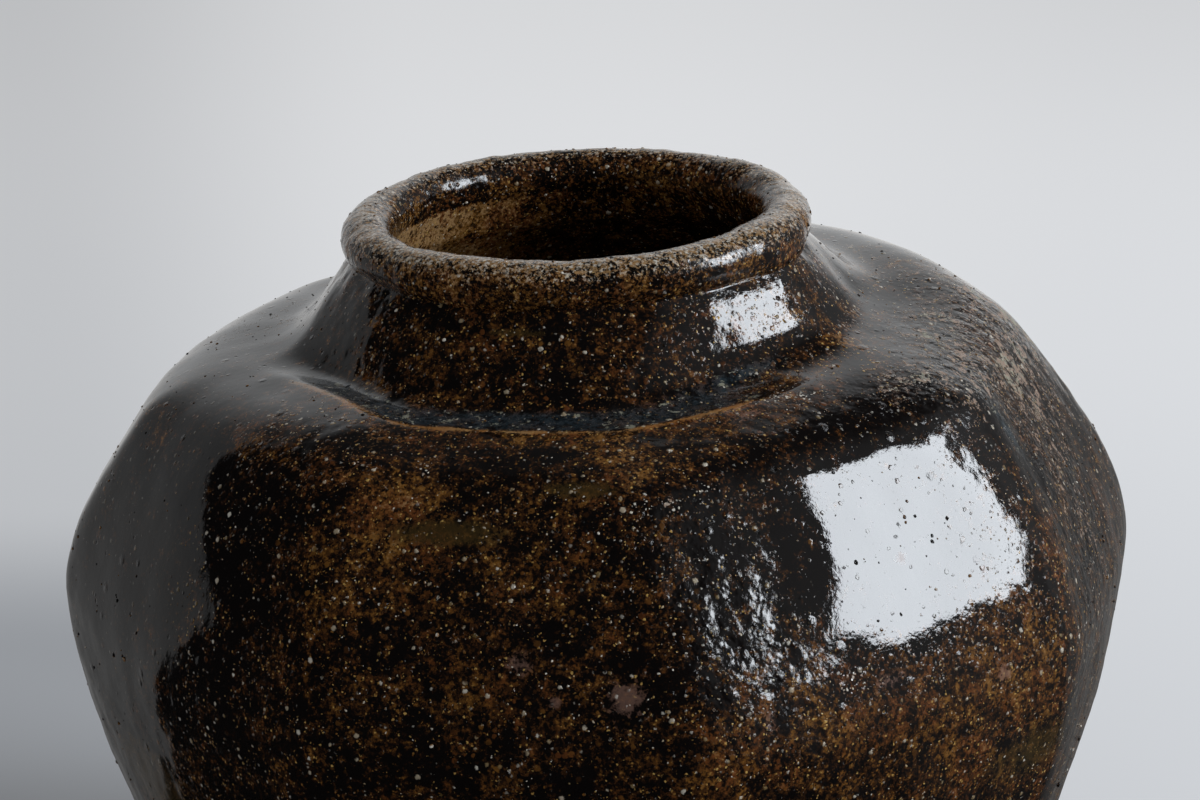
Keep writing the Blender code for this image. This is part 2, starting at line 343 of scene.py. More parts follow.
def floor_material():
    """Pale and matt, painted paler far off, with a painted glow for the camera and a painted shadow
    on the left, and for mirrored rays as bright as the room there.
    """
    material, tree = empty_material("pale_floor")
    place = Wire.new(tree, "ShaderNodeTexCoord", output="Object")
    mirrored = Wire.new(tree, "ShaderNodeLightPath", output="Is Glossy Ray")
    seen = Wire.new(tree, "ShaderNodeLightPath", output="Is Camera Ray")
    rightwards, backwards = part(place, 0), part(place, 1)
    slope = rightwards / (backwards + FAN_POINT_AHEAD).most(FAN_LEAST_REACH)
    # painted shadow: behind the jar on the left the colour is mixed towards a darker one
    painted_shadow = (PAINTED_SHADOW_SLOPE - slope).between(0.0, PAINTED_SHADOW_EASE) * (1 - backwards.between(*PAINTED_SHADOW_GOES))
    painted_shadow = painted_shadow * backwards.between(*PAINTED_SHADOW_COMES) * rightwards.between(*PAINTED_SHADOW_SIDE)
    far = backwards.between(*FLOOR_FAR_STARTS)
    colour = mixed(far, FLOOR_NEAR_COLOUR, FLOOR_FAR_COLOUR)
    colour = mixed(painted_shadow, colour, FLOOR_PAINTED_SHADOW_COLOUR)
    matt = Wire.new(tree, "ShaderNodeBsdfDiffuse", None, {"Color": colour})
    # painted glow: emission that only camera rays see
    painted_glow_share = PAINTED_GLOW_NEAR_SHARE + (1.0 - PAINTED_GLOW_NEAR_SHARE) * backwards.between(*PAINTED_GLOW_FAR_STARTS)
    painted_glow_strength = PAINTED_GLOW_AT_LEFT + PAINTED_GLOW_IN_MIDDLE * slope.between(*PAINTED_GLOW_MIDDLE_SLOPES)
    painted_glow_strength = painted_glow_strength + PAINTED_GLOW_AT_RIGHT * slope.between(*PAINTED_GLOW_RIGHT_SLOPES)
    painted_glow_strength = painted_glow_strength * (1 - painted_shadow) * painted_glow_share
    painted_glow = Wire.new(tree, "ShaderNodeEmission", None, {"Strength": painted_glow_strength * seen})
    lit = Wire.new(tree, "ShaderNodeAddShader", None, {0: matt, 1: painted_glow})
    reach = (rightwards * rightwards + backwards * backwards) ** 0.5 + JAR_REACH
    spread = brightness_behind(rightwards / reach, backwards / reach, reach * 0.0)
    glow = spread * (GLOW_NEAR_SHARE + (1.0 - GLOW_NEAR_SHARE) * reach.between(*GLOW_STARTS))
    shine = Wire.new(tree, "ShaderNodeEmission", None, {"Strength": glow})
    both = Wire.new(tree, "ShaderNodeMixShader", None, {0: mirrored, 1: lit, 2: shine})
    Wire.new(tree, "ShaderNodeOutputMaterial", None, {"Surface": both})
    return material


floor_mesh.materials.append(floor_material())
print("floor:", 2 * FLOOR_REACH, "m wide")

# %% [markdown]
# ## The form of the jar
# The potter's sizes come first: the round form that the wall would have on a wheel. The
# outline of its outer face swells to the belly, closes to the shoulder, turns flat for
# the ledge and rises to the lip. The inner face runs one wall's thickness inside it.

# %% Sizes of the round form
FOOT_RADIUS = 0.0600
BELLY_RADIUS = 0.1080
LIP_RING_RADIUS = 0.0413
LIP_ROLL_RADIUS = 0.0047
NECK_SPREAD = 0.0172
LEDGE_WIDTH = 0.0085
SHOULDER_WIDTH = 0.0154
BELLY_HEIGHT = 0.1180
SHOULDER_RISE = 0.0460
LEDGE_RISE = 0.0045
NECK_RISE = 0.0208
WALL = 0.0075
FLOOR_THICKNESS = 0.0100
SLAB_EDGE = 0.0060
FOOT_BEVEL = 0.0018
BELLY_LAP = 0.0070
LEDGE_DIP = 0.0007
SHOULDER_BEND = 0.0075
NECK_FOOT_BEND = 0.0050
LIP_OUTER_SEAT_DEGREES = -50.0
LIP_INNER_SEAT_DEGREES = 210.0
SWELL_POWER = 1.6

NECK_FOOT_RADIUS = LIP_RING_RADIUS + NECK_SPREAD
LEDGE_RADIUS = NECK_FOOT_RADIUS + LEDGE_WIDTH
SHOULDER_RADIUS = LEDGE_RADIUS + SHOULDER_WIDTH
SHOULDER_HEIGHT = BELLY_HEIGHT + SHOULDER_RISE
LEDGE_HEIGHT = SHOULDER_HEIGHT + LEDGE_RISE
LIP_HEIGHT = LEDGE_HEIGHT + NECK_RISE
print("lip height:", round(LIP_HEIGHT / MILLIMETRE, 1), "mm")

# %% Outline helpers
DENSE = 240


def lower_wall(share):
    """The outer face from the foot to the belly, as radius and height."""
    swell = 1.0 - (1.0 - share) ** SWELL_POWER
    return np.stack([FOOT_RADIUS + (BELLY_RADIUS - FOOT_RADIUS) * swell, BELLY_HEIGHT * share], -1)


def upper_wall(share):
    """The outer face from the belly to the turn of the shoulder."""
    radius = BELLY_RADIUS - (BELLY_RADIUS - SHOULDER_RADIUS) * share**SWELL_POWER
    return np.stack([radius, BELLY_HEIGHT + SHOULDER_RISE * share], -1)


def lip(degrees):
    """Points on the round section of the rolled lip."""
    angle = np.radians(degrees)
    across = LIP_RING_RADIUS + LIP_ROLL_RADIUS * np.cos(angle)
    return np.stack([across, LIP_HEIGHT + LIP_ROLL_RADIUS * np.sin(angle)], -1)


def towards(start, end, distance):
    """The point that lies this far from start on the way to end."""
    way = end - start
    return start + way / np.linalg.norm(way) * distance


def bend(start, corner, end):
    """A soft bend that leaves start and reaches end round a corner."""
    share = np.linspace(0.0, 1.0, DENSE)[:, None]
    first = start + (corner - start) * share
    second = corner + (end - corner) * share
    return first + (second - first) * share


def marks_along(line):
    """How far along a line each of its points lies."""
    return np.append(0.0, np.cumsum(np.linalg.norm(np.diff(line, axis=0), axis=1)))


def spaced(line, spacing):
    """The same line with its points this far apart."""
    marks = marks_along(line)
    steps = np.linspace(0.0, marks[-1], max(int(round(marks[-1] / spacing)), 1) + 1)
    return np.stack([np.interp(steps, marks, line[:, axis]) for axis in range(2)], -1)


def smoothed(values, width):
    """Values along a row, each blurred over this many of its neighbours, ends kept."""
    reach = int(3 * width) + 1
    steps = np.arange(-reach, reach + 1)
    weights = np.exp(-0.5 * (steps / width) ** 2)
    weights /= weights.sum()
    first, last = values[0], values[-1]
    ahead = 2 * first - values[1 : reach + 1][::-1]
    after = 2 * last - values[-reach - 1 : -1][::-1]
    padded = np.concatenate([ahead, values, after])
    return np.convolve(padded, weights, "valid")


def softened(line, spacing, radius):
    """A line of even points whose corners are rounded over about this radius."""
    line = spaced(line, spacing)
    return np.stack([smoothed(line[:, axis], radius / spacing) for axis in range(2)], -1)


print("outline helpers ready")

# %% [markdown]
# ## From outline to rows
# The skin is one long line of rows that goes up the outside, over the lip, down the
# inside and across the floor. Rows lie close together where the photograph looks, and
# far apart where nobody does. Each joint between two sections falls on a row.

# %% Rows of the skin
POLE_RADIUS = 0.0020
CORNER_SOFTNESS = 0.0011
LOOK_SPACING = 0.0008
NECK_SPACING = 0.0006
LIP_SPACING = 0.0005
LOW_SPACING = 0.0018
NEAR_SPACING = 0.0010
INNER_SPACING = 0.0050
FLOOR_SPACING = 0.0100
LOW_HEIGHT = 0.0800
LAST_UPPER_SHARE = 0.8
SEAT_GAP_ROWS = 3

shoulder = upper_wall(np.array(1.0))
ledge_edge = np.array([LEDGE_RADIUS, LEDGE_HEIGHT])
groove = np.array([NECK_FOOT_RADIUS, LEDGE_HEIGHT - LEDGE_DIP])
neck_top = lip(LIP_OUTER_SEAT_DEGREES)
last_upper = upper_wall(np.array(LAST_UPPER_SHARE))
whole_lower = lower_wall(np.linspace(0.0, 1.0, DENSE))
turn = bend(
    towards(shoulder, last_upper, SHOULDER_BEND),
    shoulder,
    towards(shoulder, ledge_edge, SHOULDER_BEND),
)
rise = bend(
    towards(groove, ledge_edge, NECK_FOOT_BEND),
    groove,
    towards(groove, neck_top, NECK_FOOT_BEND),
)
upper_line = np.concatenate(
    [upper_wall(np.linspace(0.0, LAST_UPPER_SHARE, DENSE)), turn, ledge_edge[None], rise]
)
neck_line = np.stack([rise[-1], neck_top])
print("outer face from the belly to the neck:", len(upper_line), "points")

# %% Inner face
def cut_at_height(line, low, high):
    """The stretch of a rising line between two heights."""
    ends = [[np.interp(height, line[:, 1], line[:, 0]), height] for height in (low, high)]
    inside = line[(line[:, 1] > low) & (line[:, 1] < high)]
    return np.concatenate([ends[:1], inside, ends[1:]])


def inside_of(line):
    """The inner face that lies one wall inside an outer line."""
    along = np.gradient(line, axis=0)
    along /= np.linalg.norm(along, axis=1)[:, None]
    return line + WALL * np.stack([-along[:, 1], along[:, 0]], -1)


whole_outer = np.concatenate([whole_lower, upper_line[1:], neck_line[1:]])
inner = inside_of(softened(whole_outer, LOOK_SPACING, WALL / 2))
inner_belly_row = np.argmin(np.abs(inner[:, 1] - BELLY_HEIGHT - BELLY_LAP))
inner_neck_row = np.argmin(np.linalg.norm(inner - inside_of(upper_line)[-1], axis=1))
inner_floor_row = np.argmin(np.abs(inner[:, 1] - FLOOR_THICKNESS))
seat_inside = lip(LIP_INNER_SEAT_DEGREES)
inner_top_row = np.argmin(np.linalg.norm(inner - seat_inside, axis=1)) - SEAT_GAP_ROWS
foot_edge = whole_lower[0]
bevel_bottom = foot_edge - (FOOT_BEVEL, 0.0)
bevel_top = cut_at_height(whole_lower, 0.0, FOOT_BEVEL)[-1]

print("inner face:", len(inner), "points, one wall of", WALL / MILLIMETRE, "mm inside")

# %% Stretches of rows
whole_lip = lip(np.linspace(LIP_OUTER_SEAT_DEGREES, LIP_INNER_SEAT_DEGREES, DENSE))
inner_neck_line = np.concatenate(
    [seat_inside[None], inner[inner_neck_row : inner_top_row + 1][::-1]]
)
inner_upper_line = inner[inner_belly_row : inner_neck_row + 1][::-1]
inner_lower_line = inner[inner_floor_row : inner_belly_row + 1][::-1]
floor_line = np.stack([inner[inner_floor_row], [POLE_RADIUS, FLOOR_THICKNESS]])
stretches = [
    ("foot", spaced(np.array([[POLE_RADIUS, 0.0], bevel_bottom]), FLOOR_SPACING)),
    ("bevel", spaced(np.stack([bevel_bottom, bevel_top]), NEAR_SPACING)),
    ("slab", spaced(cut_at_height(whole_lower, FOOT_BEVEL, SLAB_EDGE), NEAR_SPACING)),
    ("low", spaced(cut_at_height(whole_lower, SLAB_EDGE, LOW_HEIGHT), LOW_SPACING)),
    ("near", spaced(cut_at_height(whole_lower, LOW_HEIGHT, BELLY_HEIGHT), NEAR_SPACING)),
    ("upper", softened(upper_line, LOOK_SPACING, CORNER_SOFTNESS)),
    ("neck", spaced(neck_line, NECK_SPACING)),
    ("lip", spaced(whole_lip, LIP_SPACING)),
    ("inner_neck", spaced(inner_neck_line, NEAR_SPACING)),
    ("inner_upper", spaced(inner_upper_line, INNER_SPACING)),
    ("inner_lower", spaced(inner_lower_line, INNER_SPACING)),
    ("floor", spaced(floor_line, FLOOR_SPACING)),
]
rows = [stretches[0][1][:1]]
start_of = {}
for name, line in stretches:
    start_of[name] = sum(len(block) for block in rows) - 1
    rows.append(line[1:])
rows = np.concatenate(rows)
row_radius, row_height = rows[:, 0], rows[:, 1]
ROWS = len(rows)
edge_row = start_of["upper"] + np.argmin(
    np.linalg.norm(rows[start_of["upper"] : start_of["neck"]] - ledge_edge, axis=1)
)
print(ROWS, "rows; stretches start at", start_of)

# %% [markdown]
# ## What the paddle did
# The wall between two ridges is beaten towards their chord. How flat it is, how far the
# ridges stand out and how far they are lifted all depend on the height, so these shares
# belong to the rows. Where the ridges stand belongs to the columns. A clay ridge is never
# a knife edge, so the panels are blurred a little across the ridges.

# %% Ridges and panels
RIDGE_AZIMUTHS = (-83.5, -28.5, 9.5, 56.5, 99.3, 141.0, 186.0, 231.0)
RIDGE_REACH_SHARES = (0.012, -0.009, 0.000, -0.027, 0.021, 0.016, 0.000, -0.012)
RIDGE_LIFT_SHARES = (-0.021, -0.003, 0.042, 0.092, 0.087, 0.147, 0.000, -0.006)
PADDLE_SHARES = (
    # height, flatness of the panels, reach of the ridges, lift of the ridges
    (0.00, 0.00, 0.40, 0.00),
    (0.20, 0.15, 0.58, 0.14),
    (0.44, 0.45, 0.80, 0.30),
    (0.68, 0.70, 0.97, 0.70),
    (0.85, 0.80, 0.93, 0.92),
    (0.97, 0.80, 0.65, 1.00),
    (1.00, 0.70, 0.40, 0.60),
    (1.03, 0.25, 0.30, 0.55),
    (1.10, 0.00, 0.00, 0.00),
)
PANEL_SHARES = (1.0, 1.0, 1.0, 1.0, 0.35, 0.7, 0.7, 0.45)
RIDGE_TWISTS_DEGREES = (7.0, -3.0, -3.5, 3.0, 0.0, 0.0, 0.0, 0.0)
TWIST_HEIGHT_SHARES = (0.72, 0.98, 1.12)
MOUTH_SHIFT = -0.0055
MOUTH_SLOPE = 0.050
COLUMNS = 768
RIDGE_SOFTNESS_DEGREES = 1.9
HEIGHT_SOFTNESS = 0.0025
TABLE_STEP = 0.0005
TABLE_REACH = 1.2
print(len(RIDGE_AZIMUTHS), "ridges")

# %% Numbers of the columns and rows
def eased(share):
    """A share that starts and ends softly, kept between 0 and 1."""
    share = np.clip(share, 0.0, 1.0)
    return share * share * (3.0 - 2.0 * share)


azimuths = np.arange(COLUMNS) * 360.0 / COLUMNS
ridges = np.array(RIDGE_AZIMUTHS)
from_ridge = (azimuths[:, None] - ridges) % 360.0
left = np.argmin(from_ridge, axis=1)
right = (left + 1) % len(ridges)
panel = (ridges[right] - ridges[left]) % 360.0
panel_share = from_ridge.min(axis=1) / panel
half_panel = np.radians(panel / 2)
chord_share = np.cos(half_panel) / np.cos(half_panel * (2.0 * panel_share - 1.0))
softness = RIDGE_SOFTNESS_DEGREES * COLUMNS / 360.0
soft_share = eased(panel_share)


def round_the_ring(values):
    """Values of the columns, blurred across the ridges."""
    return smoothed(np.tile(values, 3), softness)[COLUMNS : 2 * COLUMNS]


def across_panel(shares):
    """The value at each column of something that each ridge has its own share of."""
    shares = np.array(shares)
    return shares[left] * (1.0 - soft_share) + shares[right] * soft_share


ridge_reach = across_panel(RIDGE_REACH_SHARES)
ridge_lift = across_panel(RIDGE_LIFT_SHARES)
ridge_twist = across_panel(RIDGE_TWISTS_DEGREES)

blurred = round_the_ring(chord_share)
worn_off = [1.0 - blurred[np.argmin(np.abs(azimuths - ridge % 360.0))] for ridge in ridges]
chord_share = blurred + across_panel(worn_off)
panel_depth = round_the_ring(np.array(PANEL_SHARES)[left])

heights = np.arange(0.0, LIP_HEIGHT * TABLE_REACH, TABLE_STEP)
table = np.array(PADDLE_SHARES)


def share_at_rows(column):
    """One column of the table of shares, softened and read at the height of each row."""
    shares = np.interp(heights / LEDGE_HEIGHT, table[:, 0], table[:, column])
    return np.interp(row_height, heights, smoothed(shares, HEIGHT_SOFTNESS / TABLE_STEP))


flatness, reach, lift = (share_at_rows(column) for column in (1, 2, 3))
lean = eased((row_height - BELLY_HEIGHT) / (LIP_HEIGHT - BELLY_HEIGHT))
height_share = row_height / LEDGE_HEIGHT
low, middle, high = TWIST_HEIGHT_SHARES
twist = eased((height_share - low) / (middle - low))
twist = twist * eased((high - height_share) / (high - middle))
widths = panel.min(), "to", panel.max()
print(COLUMNS, "columns;", len(ridges), "panels from", *widths, "degrees wide")

# %% [markdown]
# ## The skin in Geometry Nodes
# The jar follows a rule, so Geometry Nodes can make it whole. A line with one point per
# row is swept along a ring with one point per column. Both carry their numbers as
# attributes, and the sweep hands both to every point, so the place of a point is one
# formula. The marks of paddle, fingers and kiln are noise along the normal. The tree is
# run twice, with all the marks and with the paddle's alone, for the facets beaten last.

# %% Tree that turns and paddles the wall
MARKS = {
    "Paddle mark height": 0.00080,
    "Paddle mark width": 0.030,
    "Finger mark height": 0.00036,
    "Finger mark width": 0.0095,
    "Kiln grain height": 0.00010,
    "Kiln grain width": 0.0034,
}
MARK_DETAIL = 2.0
MARK_ROUGHNESS = 0.5
MARK_SEED = 1.3
LEANING = {
    "Shoulder rise": SHOULDER_RISE,
    "Mouth slope": MOUTH_SLOPE,
    "Mouth shift": MOUTH_SHIFT,
}


def geometry_tree(name, numbers, objects=()):
    """A tree with these inputs, its group input and the identifiers of its inputs."""
    tree = bpy.data.node_groups.new(name, "GeometryNodeTree")
    face = tree.interface
    face.new_socket("Geometry", in_out="INPUT", socket_type="NodeSocketGeometry")
    face.new_socket("Geometry", in_out="OUTPUT", socket_type="NodeSocketGeometry")
    keys = {}
    kinds = {label: "NodeSocketFloat" for label in numbers}
    kinds.update({label: "NodeSocketObject" for label in objects})
    for label, kind in kinds.items():
        keys[label] = face.new_socket(label, in_out="INPUT", socket_type=kind).identifier
    entry = tree.nodes.new("NodeGroupInput")
    inputs = {socket.name: Wire(tree, socket) for socket in entry.outputs if socket.name}
    return tree, inputs, keys


def attribute(tree, name):
    """A named number of each point."""
    return Wire.new(
        tree, "GeometryNodeInputNamedAttribute", {"data_type": "FLOAT"}, {"Name": name}
    )


def evaluated_mesh(carrier, tree, keys, values):
    """Runs a tree on an object and returns the result as a plain mesh."""
    modifier = carrier.modifiers.new(tree.name, "NODES")
    modifier.node_group = tree
    for label, value in values.items():
        modifier[keys[label]] = value
    bpy.context.view_layer.update()
    live = carrier.evaluated_get(bpy.context.evaluated_depsgraph_get())
    mesh = bpy.data.meshes.new_from_object(live)
    carrier.modifiers.remove(modifier)
    return mesh


def skin_tree():
    """Sweeps the rows round the ring, paddles them and leaves the marks."""
    tree, inputs, keys = geometry_tree("paddled_wall", [*LEANING, *MARKS], ["Ring"])
    profile = Wire.new(tree, "GeometryNodeMeshToCurve", None, {"Mesh": inputs["Geometry"]})
    ring = Wire.new(tree, "GeometryNodeObjectInfo", None, {"Object": inputs["Ring"]}, "Geometry")
    ring = Wire.new(tree, "GeometryNodeMeshToCurve", None, {"Mesh": ring})
    sockets = {"Curve": ring, "Profile Curve": profile}
    swept = Wire.new(tree, "GeometryNodeCurveToMesh", None, sockets)
    swept = Wire.new(tree, "GeometryNodeFlipFaces", None, {"Mesh": swept})

    flat = attribute(tree, "flatness") * attribute(tree, "panel_depth")
    beaten = 1 - flat + flat * attribute(tree, "chord_share")
    reaching = 1 + attribute(tree, "reach") * attribute(tree, "ridge_reach")
    radius = attribute(tree, "row_radius") * reaching * beaten
    azimuth = attribute(tree, "azimuth") + attribute(tree, "twist") * attribute(tree, "ridge_twist")
    x = radius * azimuth.maths("SINE")
    y = radius * azimuth.maths("COSINE") * -1.0
    lifted = attribute(tree, "lift") * attribute(tree, "ridge_lift") * inputs["Shoulder rise"]
    lean = attribute(tree, "lean")
    z = attribute(tree, "row_height") + lifted + lean * inputs["Mouth slope"] * x
    sockets = {"X": x + lean * inputs["Mouth shift"], "Y": y, "Z": z}
    place = Wire.new(tree, "ShaderNodeCombineXYZ", None, sockets)
    formed = Wire.new(tree, "GeometryNodeSetPosition", None, {"Geometry": swept, "Position": place})

    here = Wire.new(tree, "GeometryNodeInputPosition")
    marks = attribute(tree, "worked")
    depth = None
    for seed, label in enumerate(("Paddle mark", "Finger mark", "Kiln grain")):
        width = inputs[label + " width"]
        lumps = noise(here, width, MARK_DETAIL, MARK_ROUGHNESS, seed + MARK_SEED)
        layer = inputs[label + " height"] * (lumps - 0.5) * 2.0
        depth = layer if depth is None else depth + layer
    depth = depth * marks
    sockets = {0: Wire.new(tree, "GeometryNodeInputNormal"), "Scale": depth}
    offset = Wire.new(tree, "ShaderNodeVectorMath", {"operation": "SCALE"}, sockets)
    marked = Wire.new(tree, "GeometryNodeSetPosition", None, {"Geometry": formed, "Offset": offset})
    real = Wire.new(tree, "GeometryNodeRealizeInstances", None, {"Geometry": marked})
    sockets = {"Geometry": real, "Material": bpy.data.materials.new("raw_clay")}
    clay = Wire.new(tree, "GeometryNodeSetMaterial", None, sockets)
    Wire.new(tree, "NodeGroupOutput", None, {"Geometry": clay})
    return tree, keys


def line_object(name, count, closed, attributes):
    """A line or ring of points that carries numbers."""
    mesh = bpy.data.meshes.new(name)
    steps = range(count if closed else count - 1)
    places = [(float(index), float(index % 2), 0.0) for index in range(count)]
    mesh.from_pydata(places, [(step, (step + 1) % count) for step in steps], [])
    for label, values in attributes.items():
        layer = mesh.attributes.new(label, "FLOAT", "POINT")
        layer.data.foreach_set("value", np.asarray(values, np.float32))
    carrier = bpy.data.objects.new(name, mesh)
    scene.collection.objects.link(carrier)
    return carrier


print("marks on the wall:", ", ".join(MARKS))

# %% Skin
WORKED_SHARES = (
    ("foot", 0.0),
    ("bevel", 0.0),
    ("slab", 1.0),
    ("neck", 1.0),
    ("lip", 1.7),
    ("inner_neck", 1.7),
    ("inner_upper", 0.8),
    ("floor", 0.0),
)

worked = np.interp(
    np.arange(ROWS),
    [start_of[name] for name, _ in WORKED_SHARES],
    [share for _, share in WORKED_SHARES],
)
row_numbers = {
    "row_radius": row_radius,
    "row_height": row_height,
    "flatness": flatness,
    "reach": reach,
    "lift": lift,
    "lean": lean,
    "twist": twist,
    "worked": worked,
}
column_numbers = {
    "azimuth": np.radians(azimuths),
    "chord_share": chord_share,
    "ridge_reach": ridge_reach,
    "ridge_lift": ridge_lift,
    "ridge_twist": np.radians(ridge_twist),
    "panel_depth": panel_depth,
}
profile_line = line_object("rows", ROWS, False, row_numbers)
ring_line = line_object("columns", COLUMNS, True, column_numbers)
tree, keys = skin_tree()


def grown_skin(marks):
    """The skin as a grid of rows and columns, with marks of these heights on it."""
    swept = evaluated_mesh(profile_line, tree, keys, {**LEANING, **marks, "Ring": ring_line})
    flat_places = np.zeros(len(swept.vertices) * 3, np.float32)
    swept.vertices.foreach_get("co", flat_places)
    bpy.data.meshes.remove(swept)
    return flat_places.reshape(COLUMNS, ROWS, 3).transpose(1, 0, 2).astype(float)


skin = grown_skin(MARKS)
beaten_skin = grown_skin({**MARKS, "Finger mark height": 0.0, "Kiln grain height": 0.0})
for carrier in (profile_line, ring_line):
    bpy.data.objects.remove(carrier)
print("skin:", skin.shape[0] * skin.shape[1], "points")
print("from", skin.min((0, 1)).round(4), "to", skin.max((0, 1)).round(4))

# %% [markdown]
# ## Worn edges and dents
# The ledge is crisp in front only. Round the sides and the back it was smoothed into the
# shoulder, so there the rows are blurred into their neighbours. A hand and a paddle also
# leave broad shallow hollows. The ones that steer the reflections in the photograph are
# placed one by one, by azimuth and height, and pushed in or out along the surface. The
# facets that mirror the window and the far wall were beaten last, so the finger marks
# are gone from them.

# %% Places of wear and dents
CRISP_FROM_DEGREES = -78.0
CRISP_TO_DEGREES = 40.0
CRISP_EASE_DEGREES = 34.0
WEAR_WIDTH = 0.0054
WEAR_FULL_REACH = 0.012
WEAR_REACH = 0.022
ROWS_KEPT_UNDER_LIP = 6
FRONT_WEAR_SHARE = 0.12
FACET_EDGE = 1.8
BEATEN_FACETS = (
    # azimuth, height, half width, half height, share
    (35.0, 0.1490, 0.024, 0.022, 0.90),
    (-68.0, 0.1480, 0.034, 0.036, 0.80),
    (32.0, 0.1820, 0.018, 0.010, 0.85),
    (98.0, 0.1790, 0.030, 0.014, 0.85),
)
DENTS = (
    # azimuth, height, half width, half height, depth, all lengths in metres
    (-106.0, 0.1715, 0.024, 0.012, -0.0003),
    (-92.0, 0.1590, 0.026, 0.012, -0.0012),
    (-56.8, 0.1547, 0.031, 0.021, -0.0039),
    (-46.8, 0.1401, 0.031, 0.039, -0.0027),
    (26.0, 0.1575, 0.0099, 0.0213, -0.0006),
    (53.4, 0.1447, 0.0105, 0.0152, -0.0005),
    (50.2, 0.1589, 0.0116, 0.0228, -0.0008),
    (58.2, 0.1879, 0.0107, 0.0066, -0.0014),
    (28.7, 0.1783, 0.0166, 0.0056, 0.0011),
    (112.0, 0.1730, 0.026, 0.012, -0.0034),
    (10.0, 0.1440, 0.0022, 0.0050, -0.00016),
    (13.5, 0.1400, 0.0022, 0.0045, 0.00016),
    (15.5, 0.1480, 0.0020, 0.0050, -0.00014),
    (18.0, 0.1420, 0.0022, 0.0055, 0.00015),
    (7.0, 0.1390, 0.0024, 0.0040, -0.00014),
    (19.5, 0.1530, 0.0024, 0.0050, 0.00014),
)
print(len(BEATEN_FACETS), "beaten facets and", len(DENTS), "dents")

# %% Normals and nearness
def normals_of(grid):
    """The outward normal at each point of a grid of rows and columns."""
    across = np.roll(grid, -1, axis=1) - np.roll(grid, 1, axis=1)
    upwards = np.gradient(grid, axis=0)
    normal = np.cross(across, upwards)
    return normal / np.maximum(np.linalg.norm(normal, axis=2)[..., None], TINY)


def near_place(azimuth, height, half_width, half_height):
    """How near each skin point is to a place on the outside: 1 there, 0 far off."""
    outside = skin[start_of["slab"] : start_of["inner_neck"]]
    angle = math.radians(azimuth)
    sideways = outside[..., 0] * math.cos(angle) + outside[..., 1] * math.sin(angle)
    outwards = outside[..., 0] * math.sin(angle) - outside[..., 1] * math.cos(angle)
    away = np.where(outwards > 0.0, np.hypot(sideways, outside[..., 2] - height), 1.0)
    row, column = np.unravel_index(np.argmin(away), away.shape)
    row += start_of["slab"]
    centre = skin[row, column]
    level = skin[row, (column + 1) % COLUMNS] - skin[row, column - 1]
    level /= np.linalg.norm(level)
    rising = np.cross(normals[row, column], level)
    offset = skin - centre
    u = offset @ level / half_width
    v = offset @ rising / half_height
    w = offset @ normals[row, column] / max(half_width, half_height)
    return np.exp(-(u**2) - v**2 - w**2)


signed = (azimuths + 180.0) % 360.0 - 180.0
print("azimuths from", signed.min(), "to", signed.max(), "degrees")

# %% Worn ledge, beaten facets and dents
worn_left = eased((CRISP_FROM_DEGREES + CRISP_EASE_DEGREES / 2 - signed) / CRISP_EASE_DEGREES)
worn_right = eased((signed - CRISP_TO_DEGREES + CRISP_EASE_DEGREES / 2) / CRISP_EASE_DEGREES)
wear = FRONT_WEAR_SHARE + (1.0 - FRONT_WEAR_SHARE) * np.maximum(worn_left, worn_right)
from_ledge = np.abs(marks_along(rows) - marks_along(rows)[edge_row])
wear_reach = eased((WEAR_REACH - from_ledge) / (WEAR_REACH - WEAR_FULL_REACH))
wear_reach[: start_of["upper"]] = 0.0
wear_reach[start_of["lip"] - ROWS_KEPT_UNDER_LIP :] = 0.0
worn_rows = slice(start_of["upper"], start_of["lip"] + 1)
blurred_skin = skin.copy()
for column in range(COLUMNS):
    for axis in range(3):
        line = beaten_skin[worn_rows, column, axis]
        blurred_skin[worn_rows, column, axis] = smoothed(line, WEAR_WIDTH / LOOK_SPACING)
grown = skin
share = (wear_reach[:, None] * wear)[..., None]
skin = skin * (1.0 - share) + blurred_skin * share
beaten_skin = beaten_skin * (1.0 - share) + blurred_skin * share

normals = normals_of(skin)
beaten = 0.0
for *facet, share in BEATEN_FACETS:
    beaten = beaten + share * eased(FACET_EDGE * near_place(*facet))
beaten = beaten.clip(0.0, 1.0)[..., None]
skin = skin * (1.0 - beaten) + beaten_skin * beaten
normals = normals_of(skin)
for *dent, depth in DENTS:
    skin = skin - normals * (depth * near_place(*dent))[..., None]
    normals = normals_of(skin)
moved = np.linalg.norm(skin - grown, axis=2)
print("worn and dented by up to", round(float(moved.max()) / MILLIMETRE, 1), "mm")
